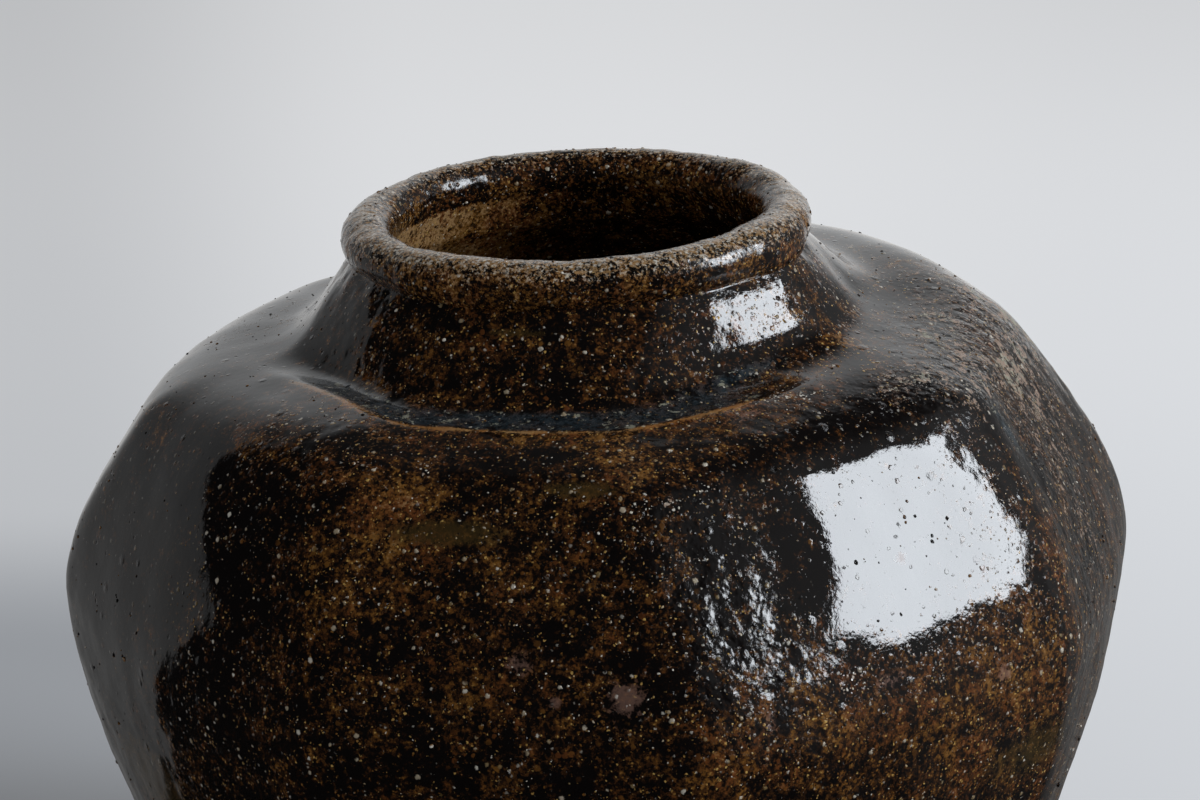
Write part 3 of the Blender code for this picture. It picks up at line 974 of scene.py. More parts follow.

# %% [markdown]
# ## Where the glaze differs
# The kiln and the dipping left the glaze black here and amber there, thin and orange on
# the edges, smeared olive in places, with a few pale lumps that are partly painted glints.
# Each of these is a number on every point, painted as soft patches, and the finish breaks
# it up with noise.

# %% Patches of the glaze
AMBER_PATCHES = (
    # azimuth, height, half width, half height, share
    (-25.4, 0.159, 0.0070, 0.0090, 0.45),
    (-51.4, 0.164, 0.0120, 0.0060, 0.40),
    (-29.0, 0.149, 0.0060, 0.0120, 0.22),
    (0.5, 0.167, 0.0060, 0.0080, 0.40),
    (-13.0, 0.168, 0.0160, 0.0030, 0.35),
    (14.0, 0.168, 0.0140, 0.0040, 0.10),
    (30.0, 0.168, 0.0140, 0.0060, -0.28),
    (-8.0, 0.156, 0.0240, 0.0120, 0.10),
    (12.0, 0.128, 0.0200, 0.0120, 0.18),
    (30.0, 0.125, 0.0160, 0.0070, 0.22),
    (50.0, 0.118, 0.0200, 0.0180, 0.30),
    (58.0, 0.138, 0.0060, 0.0140, 0.35),
    (-10.0, 0.122, 0.0300, 0.0080, -0.12),
    (84.0, 0.168, 0.0220, 0.0120, 0.20),
    (-64.0, 0.088, 0.0220, 0.0120, 0.20),
    (-38.0, 0.118, 0.0280, 0.0180, -0.22),
    (-14.0, 0.180, 0.0240, 0.0060, 0.14),
    (12.0, 0.151, 0.0100, 0.0120, -0.30),
    (37.0, 0.150, 0.0220, 0.0190, -0.55),
    (44.0, 0.168, 0.0120, 0.0060, -0.25),
    (62.0, 0.158, 0.0100, 0.0100, -0.30),
    (-44.0, 0.145, 0.0150, 0.0180, -0.36),
    (-76.0, 0.130, 0.0260, 0.0340, -0.25),
    (150.0, 0.150, 0.0400, 0.0300, 0.25),
    (205.0, 0.120, 0.0400, 0.0400, 0.18),
    (120.0, 0.080, 0.0500, 0.0300, 0.20),
    (250.0, 0.060, 0.0500, 0.0300, 0.20),
)
OLIVE_SMEARS = (
    # azimuth, height, half width, half height, share, as in all the tables that follow
    (-18.6, 0.1568, 0.0120, 0.0028, 1.0),
    (-3.2, 0.1643, 0.0080, 0.0022, 0.9),
    (-19.0, 0.1815, 0.0085, 0.0010, 0.8),
    (-62.0, 0.0900, 0.0220, 0.0120, 0.8),
    (52.0, 0.1060, 0.0180, 0.0070, 0.7),
    (170.0, 0.1400, 0.0140, 0.0040, 0.9),
    (230.0, 0.1560, 0.0100, 0.0030, 0.8),
)
# pale lumps: partly pale grains, partly painted glints
PALE_CLUMPS = (
    (4.1, 0.1622, 0.0020, 0.0015, 1.0),
    (7.5, 0.1624, 0.0016, 0.0012, 1.0),
    (12.5, 0.1634, 0.0017, 0.0011, 1.0),
    (10.5, 0.1545, 0.0011, 0.0012, 1.0),
    (-24.1, 0.1646, 0.0016, 0.0022, 0.8),
    (-17.3, 0.1577, 0.0014, 0.0012, 0.7),
    (-15.1, 0.1409, 0.0010, 0.0013, 0.7),
    (-4.3, 0.1641, 0.0012, 0.0010, 0.8),
    (31.6, 0.1717, 0.0026, 0.0016, 1.0),
    (35.4, 0.1715, 0.0024, 0.0014, 1.0),
    (26.0, 0.1310, 0.0034, 0.0018, 0.8),
    (44.0, 0.1290, 0.0030, 0.0016, 0.7),
    (130.0, 0.1400, 0.0040, 0.0030, 0.9),
    (200.0, 0.1550, 0.0030, 0.0030, 0.9),
)
BLOOMS = (
    (2.1, 0.1337, 0.0038, 0.0038, 1.0),
    (-8.6, 0.1379, 0.0022, 0.0020, 1.0),
    (36.0, 0.1474, 0.0015, 0.0012, 1.1),
    (-4.9, 0.1323, 0.0012, 0.0011, 0.9),
    (16.0, 0.1285, 0.0020, 0.0022, 0.7),
    (46.0, 0.1240, 0.0020, 0.0022, 0.9),
    (23.0, 0.1705, 0.0050, 0.0018, 0.7),
    (31.0, 0.1290, 0.0040, 0.0022, 0.7),
    (260.0, 0.1300, 0.0030, 0.0040, 0.9),
)
BLUE_TINTS = (
    (63.5, 0.1600, 0.0022, 0.0060, 0.9),
    (32.0, 0.1740, 0.0090, 0.0018, 0.6),
    (20.0, 0.1725, 0.0120, 0.0014, 0.4),
)
RUGGED_PATCHES = (
    (76.0, 0.1700, 0.0260, 0.0120, 0.9),
    (98.0, 0.1700, 0.0260, 0.0140, 0.6),
    (58.0, 0.1700, 0.0140, 0.0060, 0.6),
    (74.0, 0.1480, 0.0160, 0.0260, 1.0),
    (64.0, 0.1240, 0.0180, 0.0240, 0.8),
    (30.0, 0.1740, 0.0120, 0.0040, 0.4),
    (15.0, 0.1400, 0.0150, 0.0150, 1.1),
    (4.0, 0.1580, 0.0180, 0.0140, 0.6),
    (40.0, 0.1690, 0.0180, 0.0060, 0.6),
    (-10.0, 0.1540, 0.0240, 0.0140, 0.2),
    (160.0, 0.1450, 0.0500, 0.0400, 0.4),
)
CRUSTS = (
    (78.0, 0.1722, 0.0130, 0.0070, 1.1),
    (98.0, 0.1710, 0.0050, 0.0180, 1.2),
    (88.0, 0.1640, 0.0200, 0.0070, 1.1),
    (66.0, 0.1675, 0.0140, 0.0060, 0.9),
    (80.0, 0.1550, 0.0120, 0.0120, 0.8),
    (72.0, 0.1380, 0.0100, 0.0160, 0.5),
    (56.0, 0.1715, 0.0120, 0.0050, 0.8),
    (118.0, 0.1700, 0.0160, 0.0080, 0.8),
    (-100.0, 0.1650, 0.0160, 0.0120, 0.3),
)
print(len(AMBER_PATCHES), "amber patches,", len(CRUSTS), "crusts,", len(BLOOMS), "blooms")

# %% [markdown]
# ## Painting the numbers
# A row of a table becomes a soft round patch at the nearest place of the skin. Edges and
# ridges are painted by how far each point lies from them, so they follow the form. The
# rest depends on the row or the column alone, such as the sandy lip and the calm side.

# %% Sizes of edges, ridges and bands
EDGE_WIDTH = 0.0008
EDGE_AMBER_REACH = 0.0036
EDGE_AMBER_SHARE = 0.30
LEDGE_BLUE = 0.60
EDGE_FROM_DEGREES = -66.0
EDGE_TO_DEGREES = 32.0
EDGE_EASE_DEGREES = 14.0
LEDGE_BLUE_STARTS = 0.0012
LEDGE_BLUE_ENDS = (0.002, 0.006)
CLEAN_EDGE = 1.6
RIDGE_WIDTH = 0.0040
RIDGE_THIN_SHARE = 0.30
RIDGE_THIN_HEIGHTS = (0.140, 0.168)
SAND_FADE = 0.0090
CALM_FROM_DEGREES = -150.0
CALM_TO_DEGREES = -52.0
CALM_EASE_DEGREES = 12.0
CALM_ENDS_ROWS_BELOW_LIP = 8
CALM_SHARE_OF_LIP = 0.25
# a pale band on the top of the lip: partly sandy frost, partly painted sheen where the top catches
# the light
FROST_AND_SHEEN_DEGREES = 76.0
FROST_AND_SHEEN_WIDTH = 0.0038
WARM_INSIDE_DEGREES = -105.0
WARM_INSIDE_WIDTH_DEGREES = 56.0
WARM_INSIDE_SHARE = 1.55
print("calm side from", CALM_FROM_DEGREES, "to", CALM_TO_DEGREES, "degrees")

# %% Numbers painted on the skin
along = marks_along(rows)
outside_row = np.zeros(ROWS)
outside_row[start_of["slab"] : start_of["inner_neck"] + 1] = 1.0


def painted(patches):
    """The sum of some soft patches on the outside of the skin."""
    total = np.zeros((ROWS, COLUMNS))
    for *patch, share in patches:
        total += share * near_place(*patch)
    return total * outside_row[:, None]


def between_degrees(low, high, ease):
    """1 at the columns between two azimuths and 0 outside, with soft steps."""
    return eased((signed - low) / ease + 0.5) * eased((high - signed) / ease + 0.5)


ridge_distance = np.minimum(from_ridge.min(axis=1), (-from_ridge % 360.0).min(axis=1))
ridge_distance = np.radians(ridge_distance) * row_radius[:, None]
on_ridge = RIDGE_THIN_SHARE * np.exp(-((ridge_distance / RIDGE_WIDTH) ** 2))
high_up = eased((row_height - RIDGE_THIN_HEIGHTS[0]) / np.ptp(RIDGE_THIN_HEIGHTS))
on_ridge = on_ridge * high_up[:, None]
from_edge = along - along[edge_row]
on_edge = np.exp(-((from_edge / EDGE_WIDTH) ** 2))[:, None]
under_edge = np.exp(-((np.minimum(from_edge, 0.0) / EDGE_AMBER_REACH) ** 2))
under_edge = under_edge * (from_edge < EDGE_WIDTH)
crisp = between_degrees(EDGE_FROM_DEGREES, EDGE_TO_DEGREES, EDGE_EASE_DEGREES)
to_neck = along[start_of["neck"]] - along
ledge_rows = eased(from_edge / LEDGE_BLUE_STARTS)
ledge_rows = ledge_rows * eased((to_neck - LEDGE_BLUE_ENDS[0]) / np.ptp(LEDGE_BLUE_ENDS))
outer_part = (np.arange(ROWS) < start_of["neck"])[:, None]

lip_rows = np.zeros(ROWS)
lip_rows[start_of["lip"] : start_of["inner_neck"] + 1] = 1.0
into_neck = along - along[start_of["inner_neck"]]
lip_rows = np.where(into_neck > 0.0, np.exp(-((into_neck / SAND_FADE) ** 2)), lip_rows)
inner_rows = (np.arange(ROWS) > start_of["inner_neck"])[:, None]
from_warm = (azimuths - WARM_INSIDE_DEGREES + 180.0) % 360.0 - 180.0
warm_inside = np.exp(-((from_warm / WARM_INSIDE_WIDTH_DEGREES) ** 2)) * inner_rows
calm = between_degrees(CALM_FROM_DEGREES, CALM_TO_DEGREES, CALM_EASE_DEGREES)
below_lip = np.arange(ROWS) < start_of["lip"] - CALM_ENDS_ROWS_BELOW_LIP
calm_rows = np.where(below_lip, 1.0, CALM_SHARE_OF_LIP) * outside_row
# the pale band on the top of the lip, partly painted sheen
frost_and_sheen_turn = math.radians(FROST_AND_SHEEN_DEGREES - LIP_OUTER_SEAT_DEGREES)
lip_top = along[start_of["lip"]] + frost_and_sheen_turn * LIP_ROLL_RADIUS
frost = np.exp(-(((along - lip_top) / FROST_AND_SHEEN_WIDTH) ** 2))

skin_numbers = {
    "amber": painted(AMBER_PATCHES)
    + EDGE_AMBER_SHARE * under_edge[:, None] * crisp
    + WARM_INSIDE_SHARE * warm_inside,
    "smear": painted(OLIVE_SMEARS),
    "pale": painted(PALE_CLUMPS),
    "bloom": painted(BLOOMS),
    "rugged": painted(RUGGED_PATCHES).clip(0.0, 1.0),
    "clean": eased(CLEAN_EDGE * near_place(*BEATEN_FACETS[0][:4])) * outside_row[:, None],
    "blue": painted(BLUE_TINTS) + LEDGE_BLUE * ledge_rows[:, None] * crisp,
    "crust": painted(CRUSTS),
    "thin": np.maximum(on_ridge * outer_part, on_edge * crisp),
    "sand": lip_rows[:, None] * np.ones(COLUMNS),
    "calm": calm * calm_rows[:, None],
    "frost": frost[:, None] * np.ones(COLUMNS),
    "outside": outside_row[:, None] * np.ones(COLUMNS),
}
for label, field in skin_numbers.items():
    print(label, "mean", round(float(field.mean()), 3), "most", round(float(field.max()), 2))

# %% [markdown]
# ## Grit and speckle as node maths
# The glaze holds grains of many sizes. Cells of Voronoi noise give each grain a centre,
# and the cell's random colour says how large it is, whether it shows and how pale it is.
# The same grain then colours the glaze and raises a small dome in it, which catches the
# window. A little noise is added to the place first, so that no grain is quite round.

# %% Grains for the finishes
# width in metres, detail, roughness, seed
RAGGED_NOISE = (0.0005, 2.0, 0.6, 9.0)
RAGGED_REACH = 0.00030
SMALLEST_SHARE = 0.25


def ragged(place):
    """The place, moved about a little, so that whatever is read there gets ragged edges."""
    tree = place.tree
    sway = noise(place, *RAGGED_NOISE, "Color")
    sockets = {0: sway, 1: (0.5, 0.5, 0.5)}
    centred = Wire.new(tree, "ShaderNodeVectorMath", {"operation": "SUBTRACT"}, sockets)
    sockets = {0: centred, 1: (2 * RAGGED_REACH,) * 3, 2: place}
    return Wire.new(tree, "ShaderNodeVectorMath", {"operation": "MULTIPLY_ADD"}, sockets)


def grains(place, cell, largest, seed):
    """Grains in the glaze: a dome from 1 in the middle to 0 outside, and two draws."""
    tree = place.tree
    sockets = {0: place, 1: (seed, -seed, seed)}
    moved = Wire.new(tree, "ShaderNodeVectorMath", {"operation": "ADD"}, sockets)
    sockets = {"Vector": moved, "Scale": 1.0 / cell}
    distance = Wire.new(tree, "ShaderNodeTexVoronoi", {"feature": "F1"}, sockets, "Distance")
    draw = Wire(tree, distance.socket.node.outputs["Color"])
    size_draw = part(draw, 0)
    spread = SMALLEST_SHARE + (1.0 - SMALLEST_SHARE) * size_draw * size_draw
    size = spread * (largest / cell)
    share = distance / size
    return (1 - share * share).most(0.0), part(draw, 1), part(draw, 2)


# %% [markdown]
# ## The glaze
# One finish covers the jar, so it is one set of layers, and each section gets it with its
# own balance: the neck blacker, the lip sandy. Every layer reads the same fields: the
# numbers painted on the skin, and soft noise of several widths. Image textures would show
# the same pot from one side only, and sums of noise go all the way round.

# %% Colours, noise and grains of the glaze
BLACK = (0.0040, 0.0030, 0.0029, 1.0)
RED_BROWN = (0.0340, 0.0140, 0.0055, 1.0)
AMBER = (0.1700, 0.0740, 0.0150, 1.0)
RUST = (0.1250, 0.0400, 0.0110, 1.0)
ORANGE = (0.3200, 0.1450, 0.0450, 1.0)
SANDY = (0.3600, 0.2150, 0.0950, 1.0)
ROSE = (0.1900, 0.1050, 0.0780, 1.0)
GOLD = (0.5200, 0.3300, 0.1000, 1.0)
OLIVE = (0.0480, 0.0300, 0.0090, 1.0)
PALE = (0.6600, 0.6200, 0.5400, 1.0)
BUFF = (0.3400, 0.2400, 0.1800, 1.0)
GREENISH = (0.3400, 0.3300, 0.2500, 1.0)
SLATE = (0.0230, 0.0380, 0.0480, 1.0)
GLAZE_INDEX = 1.52
LEAST_ROUGHNESS = 0.03
SMOOTH_NOISE = {
    # width in metres, detail, roughness, seed
    "cloud": (0.030, 3.0, 0.55, 1.0),
    "warmth": (0.0095, 3.0, 0.60, 8.0),
    "mottle": (0.0065, 3.0, 0.62, 2.0),
    "relief": (0.0034, 2.0, 0.50, 7.0),
    "peel": (0.0014, 2.0, 0.50, 6.0),
    "dust": (0.00033, 2.0, 0.60, 4.0),
}
TORN_NOISE = {
    "cluster": (0.0024, 4.0, 0.70, 3.0),
    "fleck": (0.0008, 3.0, 0.70, 5.0),
}
GRAINS = {
    # cell and largest radius in metres, seed
    "large": (0.00120, 0.00080, 0.11),
    "small": (0.00052, 0.00036, 0.17),
    "speck": (0.00210, 0.00066, 0.23),
    "star": (0.00080, 0.00024, 0.31),
    "ash": (0.00100, 0.00045, 0.43),
    "pit": (0.00300, 0.00060, 0.51),
    "blister": (0.00460, 0.00170, 0.63),
    "lump": (0.00300, 0.00140, 0.77),
    "knob": (0.00140, 0.00068, 0.87),
}
# painted glints in the ledge, drawn as stretched pale flakes
PAINTED_GLINT_WIDTH = 0.0013
PAINTED_GLINT_SEED = 14.0
PAINTED_GLINT_STRETCH = (0.5, 0.5, 2.4)
PAINTED = (
    "amber",
    "smear",
    "pale",
    "bloom",
    "blue",
    "crust",
    "thin",
    "sand",
    "calm",
    "frost",
    "rugged",
    "clean",
)


def glaze_fields(tree):
    """The painted numbers and the noise that every layer of the glaze reads."""
    place = Wire.new(tree, "ShaderNodeTexCoord", output="Object")
    field = SimpleNamespace(tree=tree, torn=ragged(place))
    for label in PAINTED:
        settings = {"attribute_name": label}
        setattr(field, label, Wire.new(tree, "ShaderNodeAttribute", settings, None, "Fac"))
    for label, numbers in SMOOTH_NOISE.items():
        setattr(field, label, noise(place, *numbers))
    for label, numbers in TORN_NOISE.items():
        setattr(field, label, noise(field.torn, *numbers))
    field.busy = (1 - field.calm * 0.8) * (1 - field.clean * 0.9)
    return field


print("glaze:", len(PAINTED), "painted numbers,", len(GRAINS), "kinds of grain")

# %% [markdown]
# ## Ground and grains
# Under everything lies a near black ground. Amber is strewn in it, as dense as the sum of
# the balance, the painted patches and the noise says. A soft step turns each sum into how
# far a colour shows: the first number of a step is the sum where it starts, the second
# where it is full. Each layer keeps what the relief needs again later.

# %% Ground, amber and grains
def ground(field, balance):
    """The black ground with amber in it, denser where the painted amber is high."""
    tone = balance + field.amber + field.sand * 0.10 - field.calm * 0.12
    field.tone = tone + (field.cloud - 0.5) * 0.9 + (field.mottle - 0.5) * 1.5
    spotted = (field.cluster - 0.5) * 2.4 + (field.fleck - 0.5) * (2.2 + field.sand * 2.0)
    field.density = field.tone + spotted
    field.warm = mixed(field.warmth.between(0.42, 0.58), RUST, AMBER)
    colour = mixed(field.density.between(0.28, 0.68), BLACK, RED_BROWN)
    colour = mixed(field.density.between(0.60, 1.15), colour, field.warm)
    colour = mixed(field.density.between(1.00, 1.90), colour, SANDY)
    crevice = (0.44 - field.fleck).between(0.0, 0.10) * (1 - field.clean)
    return mixed(crevice * 0.8, colour, BLACK)


def melted_grains(field, colour):
    """Large and small grains that melted into the glaze, and lumps of pale ones, partly painted
    glints.
    """
    large_dome, large_show, large_pale = grains(field.torn, *GRAINS["large"])
    small_dome, small_show, small_pale = grains(field.torn, *GRAINS["small"])
    large = large_dome.between(0.05, 0.6) * (field.tone * 0.75 - large_show).between(-0.05, 0.15)
    small = small_dome.between(0.05, 0.6) * (field.density * 0.75 - small_show).between(-0.05, 0.15)
    dark = large_dome.between(0.02, 0.5) * (large_show - 0.55).between(0.0, 0.1)
    colour = mixed(dark * 0.85, colour, BLACK)
    colour = mixed(large * 0.7, colour, mixed(large_pale.between(0.2, 1.0), RED_BROWN, field.warm))
    bright = mixed(small_pale.between(0.05, 0.60), RED_BROWN, AMBER)
    bright = mixed(small_pale.between(0.60, 0.95) * 0.9, bright, GOLD)
    colour = mixed(small * field.busy * 0.9, colour, bright)
    # painted glints in part: pale lumps where the painted pale number is high
    clump = small_dome.between(0.0, 0.5) * (field.pale * 1.1 - small_show).between(0.0, 0.2)
    colour = mixed(clump * 0.85, colour, mixed(small_pale.between(0.1, 0.6), BUFF, PALE))
    field.large = large * large_dome
    field.small = small * small_dome * field.busy
    field.small_pale = small_pale
    field.clump = clump
    return colour


print("ground and grains ready")

# %% [markdown]
# ## Smears, thin edges, the blue of the ledge and its painted glints
# Where the glaze ran thick it is olive, where it drew back from an edge it is orange, and
# the ledge is tinted slate blue, with painted glints there drawn as flat pale flakes.

# %% Smears, edges, slate tint and painted glints
def smeared_and_tinted_glaze(field, colour):
    """Olive smears, thin orange edges, the slate blue tint of the ledge and its painted glints."""
    smear = field.smear * 1.4 + (field.cluster - 0.5) * 1.8 + (field.fleck - 0.5) * 1.0 - 0.40
    field.smeared = smear.between(0.05, 0.65) * field.smear.between(0.02, 0.2)
    colour = mixed(field.smeared * 0.65, colour, OLIVE)
    thin = field.thin * (field.mottle * 2.8 - 0.40)
    thin = thin + (field.fleck - 0.5) * 1.8 + (field.dust - 0.5) * 0.7
    thin = (thin * field.thin.between(0.0, 0.25)).between(0.30, 0.95)
    colour = mixed(thin * 0.75, colour, mixed(field.warmth.between(0.40, 0.60), ORANGE, SANDY))
    blue = field.blue + (field.fleck - 0.5) * 1.4 + (field.cluster - 0.5) * 1.6
    field.pool = blue.between(0.20, 0.90) * field.blue.between(0.0, 0.3)
    colour = mixed(field.pool * 0.8, colour, SLATE)
    # painted glints: stretched pale flakes in the ledge
    sockets = {0: field.torn, 1: PAINTED_GLINT_STRETCH}
    level = Wire.new(field.tree, "ShaderNodeVectorMath", {"operation": "MULTIPLY"}, sockets)
    painted_glint = noise(level, PAINTED_GLINT_WIDTH, 3.0, 0.65, PAINTED_GLINT_SEED).between(0.60, 0.66)
    painted_glint = painted_glint * field.blue.between(0.15, 0.45)
    return mixed(painted_glint * 0.6, colour, GREENISH)


print("smears, edges and pools ready")

# %% [markdown]
# ## Crust, frost and painted sheen, specks and painted glints
# The kiln left a dry crust on the right shoulder and a sandy frost on the lip, whose pale
# band on top is partly painted sheen. White and golden specks of three sizes lie over
# everything but the calm facets; they are partly painted glints, denser on the crust and
# where the glaze is rugged.

# %% Crust, frost and painted sheen, specks and painted glints
def kiln_crust(field, colour):
    """The dry crust, the frost on the lip with its painted sheen, and the rosy blooms."""
    crust = field.crust * (0.42 + 1.6 * (field.mottle - 0.5))
    crust = crust + (field.cluster - 0.5) * 3.0 + (field.fleck - 0.5) * 2.0
    field.crusted = crust.between(0.46, 0.66) * field.crust.between(0.05, 0.4)
    rusty = mixed((field.cluster * 2.0 - field.mottle).between(0.40, 0.60), GREENISH, BUFF)
    colour = mixed(field.crusted * 0.85, colour, rusty)
    # painted sheen in part: the top of the lip is mixed towards sandy and pale colours
    frost = field.frost * 0.75 + (field.fleck - 0.5) * 4.0 + (field.dust - 0.5) * 1.5
    frost = frost.between(0.30, 0.90) * field.frost.between(0.05, 0.4)
    colour = mixed(frost * 0.70, colour, mixed(field.small_pale.between(0.4, 1.0), SANDY, PALE))
    bloom = field.bloom * 1.1 + (field.cluster - 0.5) * 2.6 + (field.fleck - 0.5) * 1.8
    field.bloomed = bloom.between(0.40, 1.10) * field.bloom.between(0.02, 0.3)
    return mixed(field.bloomed * 0.6, colour, ROSE)


def specks_and_painted_glints(field, colour):
    """Specks, ash and stars: pale grains of three sizes on the glaze, partly painted glints."""
    dome, show, pale = grains(field.torn, *GRAINS["speck"])
    # painted glints: more specks show where the glaze is rugged
    show = show + (field.mottle - 0.5) * 1.6 + field.rugged * 0.12
    speck = dome.between(0.0, 0.6) * (show - 0.47).between(0.0, 0.1) * field.busy
    colour = mixed(speck * (0.2 + 0.65 * pale), colour, mixed(pale, GOLD, PALE))
    field.speck = speck * dome
    dome, show, pale = grains(field.torn, *GRAINS["ash"])
    # painted glints: more ash shows on the crust and where the glaze is rugged
    scattered = field.crust * 0.25 + field.rugged * 0.15
    show = 0.16 + (field.cluster - 0.5) * 1.2 + scattered - show
    field.ash = dome.between(0.0, 0.9) * show.between(0.0, 0.1) * field.busy
    colour = mixed(field.ash * (0.12 + 0.5 * pale), colour, PALE)
    field.ash_dome = dome
    dome, show, pale = grains(field.torn, *GRAINS["star"])
    # painted glints: more stars show where the glaze is rugged
    show = field.density * 0.34 + 0.09 + field.sand * 0.10 + field.rugged * 0.16 - show
    star = dome.between(0.0, 0.4) * show.between(-0.05, 0.1) * field.busy
    field.star = star * dome
    return mixed(star * 0.85, colour, mixed(pale.between(0.3, 0.7), GOLD, PALE))


print("crust, frost and specks ready")

# %% [markdown]
# ## Relief
# Everything that stands up or sinks in, from orange peel to pits, is summed in metres and
# goes to one bump. Bumps in a row would each cost a look at all the noise before them.

# %% Relief of the glaze
HEIGHTS = {
    "peel": 0.000025,
    "relief": 0.00070,
    "fleck": 0.000008,
    "torn fleck": 0.00005,
    "crust fleck": 0.00020,
    "lump": 0.00024,
    "knob": 0.00016,
    "sandy knob": 0.00006,
    "large": 0.00007,
    "small": 0.00005,
    "speck": 0.00025,
    "star": 0.00010,
    "ash": 0.00012,
    "crust": 0.00012,
    "clump": 0.00010,
    "blister": 0.00014,
    "pit": 0.00030,
}


def glaze_height(field):
    """How far the glaze stands up at a place, in metres."""
    rugged = field.rugged * (1 - field.clean)
    torn_up = rugged + field.sand * 0.8
    dome, show, size = grains(field.torn, *GRAINS["lump"])
    lump = dome * (torn_up * 0.75 - show).between(0.0, 0.1) * (0.3 + size)
    dome, show, size = grains(field.torn, *GRAINS["knob"])
    knob = dome * (torn_up * 0.70 - show).between(0.0, 0.1) * (0.3 + size)
    dome, show, _ = grains(field.torn, *GRAINS["pit"])
    show = show + (field.mottle - 0.5) * 1.4 + field.calm * 0.12 - 0.64
    pit = dome * show.between(0.0, 0.05)
    dome, show, _ = grains(field.torn, *GRAINS["blister"])
    blister = dome * dome * (show + field.calm * 0.2 - 0.65).between(0.0, 0.1)
    fleck_height = HEIGHTS["fleck"] + HEIGHTS["torn fleck"] * torn_up
    fleck_height = fleck_height + HEIGHTS["crust fleck"] * field.crusted
    knob_height = HEIGHTS["knob"] + HEIGHTS["sandy knob"] * field.sand
    grain_height = field.large * HEIGHTS["large"] + field.small * HEIGHTS["small"]

    height = (field.peel - 0.5) * HEIGHTS["peel"]
    height = height + (field.relief - 0.5) * HEIGHTS["relief"] * rugged
    height = height + (field.fleck - 0.5) * fleck_height
    height = height + lump * HEIGHTS["lump"] + knob * knob_height
    height = height + grain_height * (0.7 + 0.3 * rugged)
    height = height + field.speck * HEIGHTS["speck"] + field.star * HEIGHTS["star"]
    height = height + field.ash * field.ash_dome * HEIGHTS["ash"]
    height = height + field.crusted * HEIGHTS["crust"] + field.clump * HEIGHTS["clump"]
    return height + blister * HEIGHTS["blister"] - pit * HEIGHTS["pit"]


def finished(tree, colour, roughness, height, index=None):
    """A surface of this colour, roughness and height, with this index of refraction."""
    sockets = {"Strength": 1.0, "Distance": 1.0, "Height": height}
    bump = Wire.new(tree, "ShaderNodeBump", None, sockets)
    sockets = {"Base Color": colour, "Roughness": roughness, "Normal": bump}
    if index:
        sockets["IOR"] = index
    surface = Wire.new(tree, "ShaderNodeBsdfPrincipled", None, sockets)
    Wire.new(tree, "ShaderNodeOutputMaterial", None, {"Surface": surface})


print("highest relief:", max(HEIGHTS.values()) / MILLIMETRE, "mm")

# %% [markdown]
# ## The finishes
# A glaze is its layers in order. The clay under the foot has none of them: it is brown,
# matt and gritty, with a few pale grains.

# %% Finishes
CLAY_DARK = (0.17, 0.095, 0.055, 1.0)
CLAY_LIGHT = (0.28, 0.17, 0.11, 1.0)
CLAY_ROUGHNESS = 0.82
CLAY_CLOUD_NOISE = (0.020, 3.0, 0.6, 11.0)
CLAY_GRAIN_NOISE = (0.0012, 3.0, 0.7, 12.0)
CLAY_GRAINS = (0.0026, 0.0006, 0.7)
CLAY_NOISE_HEIGHT = 0.00016
CLAY_GRAIN_HEIGHT = 0.00012
SHINE = 0.035
GLAZES = {
    # section: name of its glaze, and how much amber is in it
    "lower_wall": ("belly_glaze", 0.36),
    "upper_wall": ("shoulder_glaze", 0.38),
    "neck_collar": ("neck_glaze", 0.34),
    "rolled_rim": ("lip_glaze", 0.46),
}


def glaze(name, balance):
    """The glaze, with more amber by balance."""
    material, tree = empty_material(name)
    field = glaze_fields(tree)
    colour = ground(field, balance)
    for layer in (melted_grains, smeared_and_tinted_glaze, kiln_crust, specks_and_painted_glints):
        colour = layer(field, colour)
    roughness = SHINE + field.calm * 0.04 + field.frost * 0.04 + field.crusted * 0.20
    roughness = roughness + field.bloomed * 0.20 + field.clump * 0.10 + field.ash * 0.10
    roughness = roughness + field.smeared * 0.05 + field.pool * 0.05
    finished(tree, colour, roughness.most(LEAST_ROUGHNESS), glaze_height(field), GLAZE_INDEX)
    return material


def bare_clay():
    """Unglazed stoneware under the foot: fired brown, matt and gritty."""
    material, tree = empty_material("bare_clay")
    place = Wire.new(tree, "ShaderNodeTexCoord", output="Object")
    cloud = noise(place, *CLAY_CLOUD_NOISE)
    grain = noise(place, *CLAY_GRAIN_NOISE)
    colour = mixed(cloud.between(0.3, 0.7), CLAY_DARK, CLAY_LIGHT)
    dome, show, _ = grains(place, *CLAY_GRAINS)
    dome = dome * (show - 0.5).between(0.0, 0.05)
    colour = mixed(dome.between(0.0, 0.4) * 0.7, colour, PALE)
    height = (grain - 0.5) * CLAY_NOISE_HEIGHT + dome * CLAY_GRAIN_HEIGHT
    finished(tree, colour, CLAY_ROUGHNESS, height)
    return material


finishes = {"base_disc": bare_clay()}
for name, (glaze_name, balance) in GLAZES.items():
    finishes[name] = glaze(glaze_name, balance)
print("finishes:", ", ".join(material.name for material in finishes.values()))

# %% [markdown]
# ## Cutting the skin into sections
# Each section takes its own rows of the outside and of the inside, and faces inside the
# clay close it along its joints. Neighbours share the points on a joint's edge, and every
# corner keeps the normal of the whole skin, so no seam shows in the glaze.

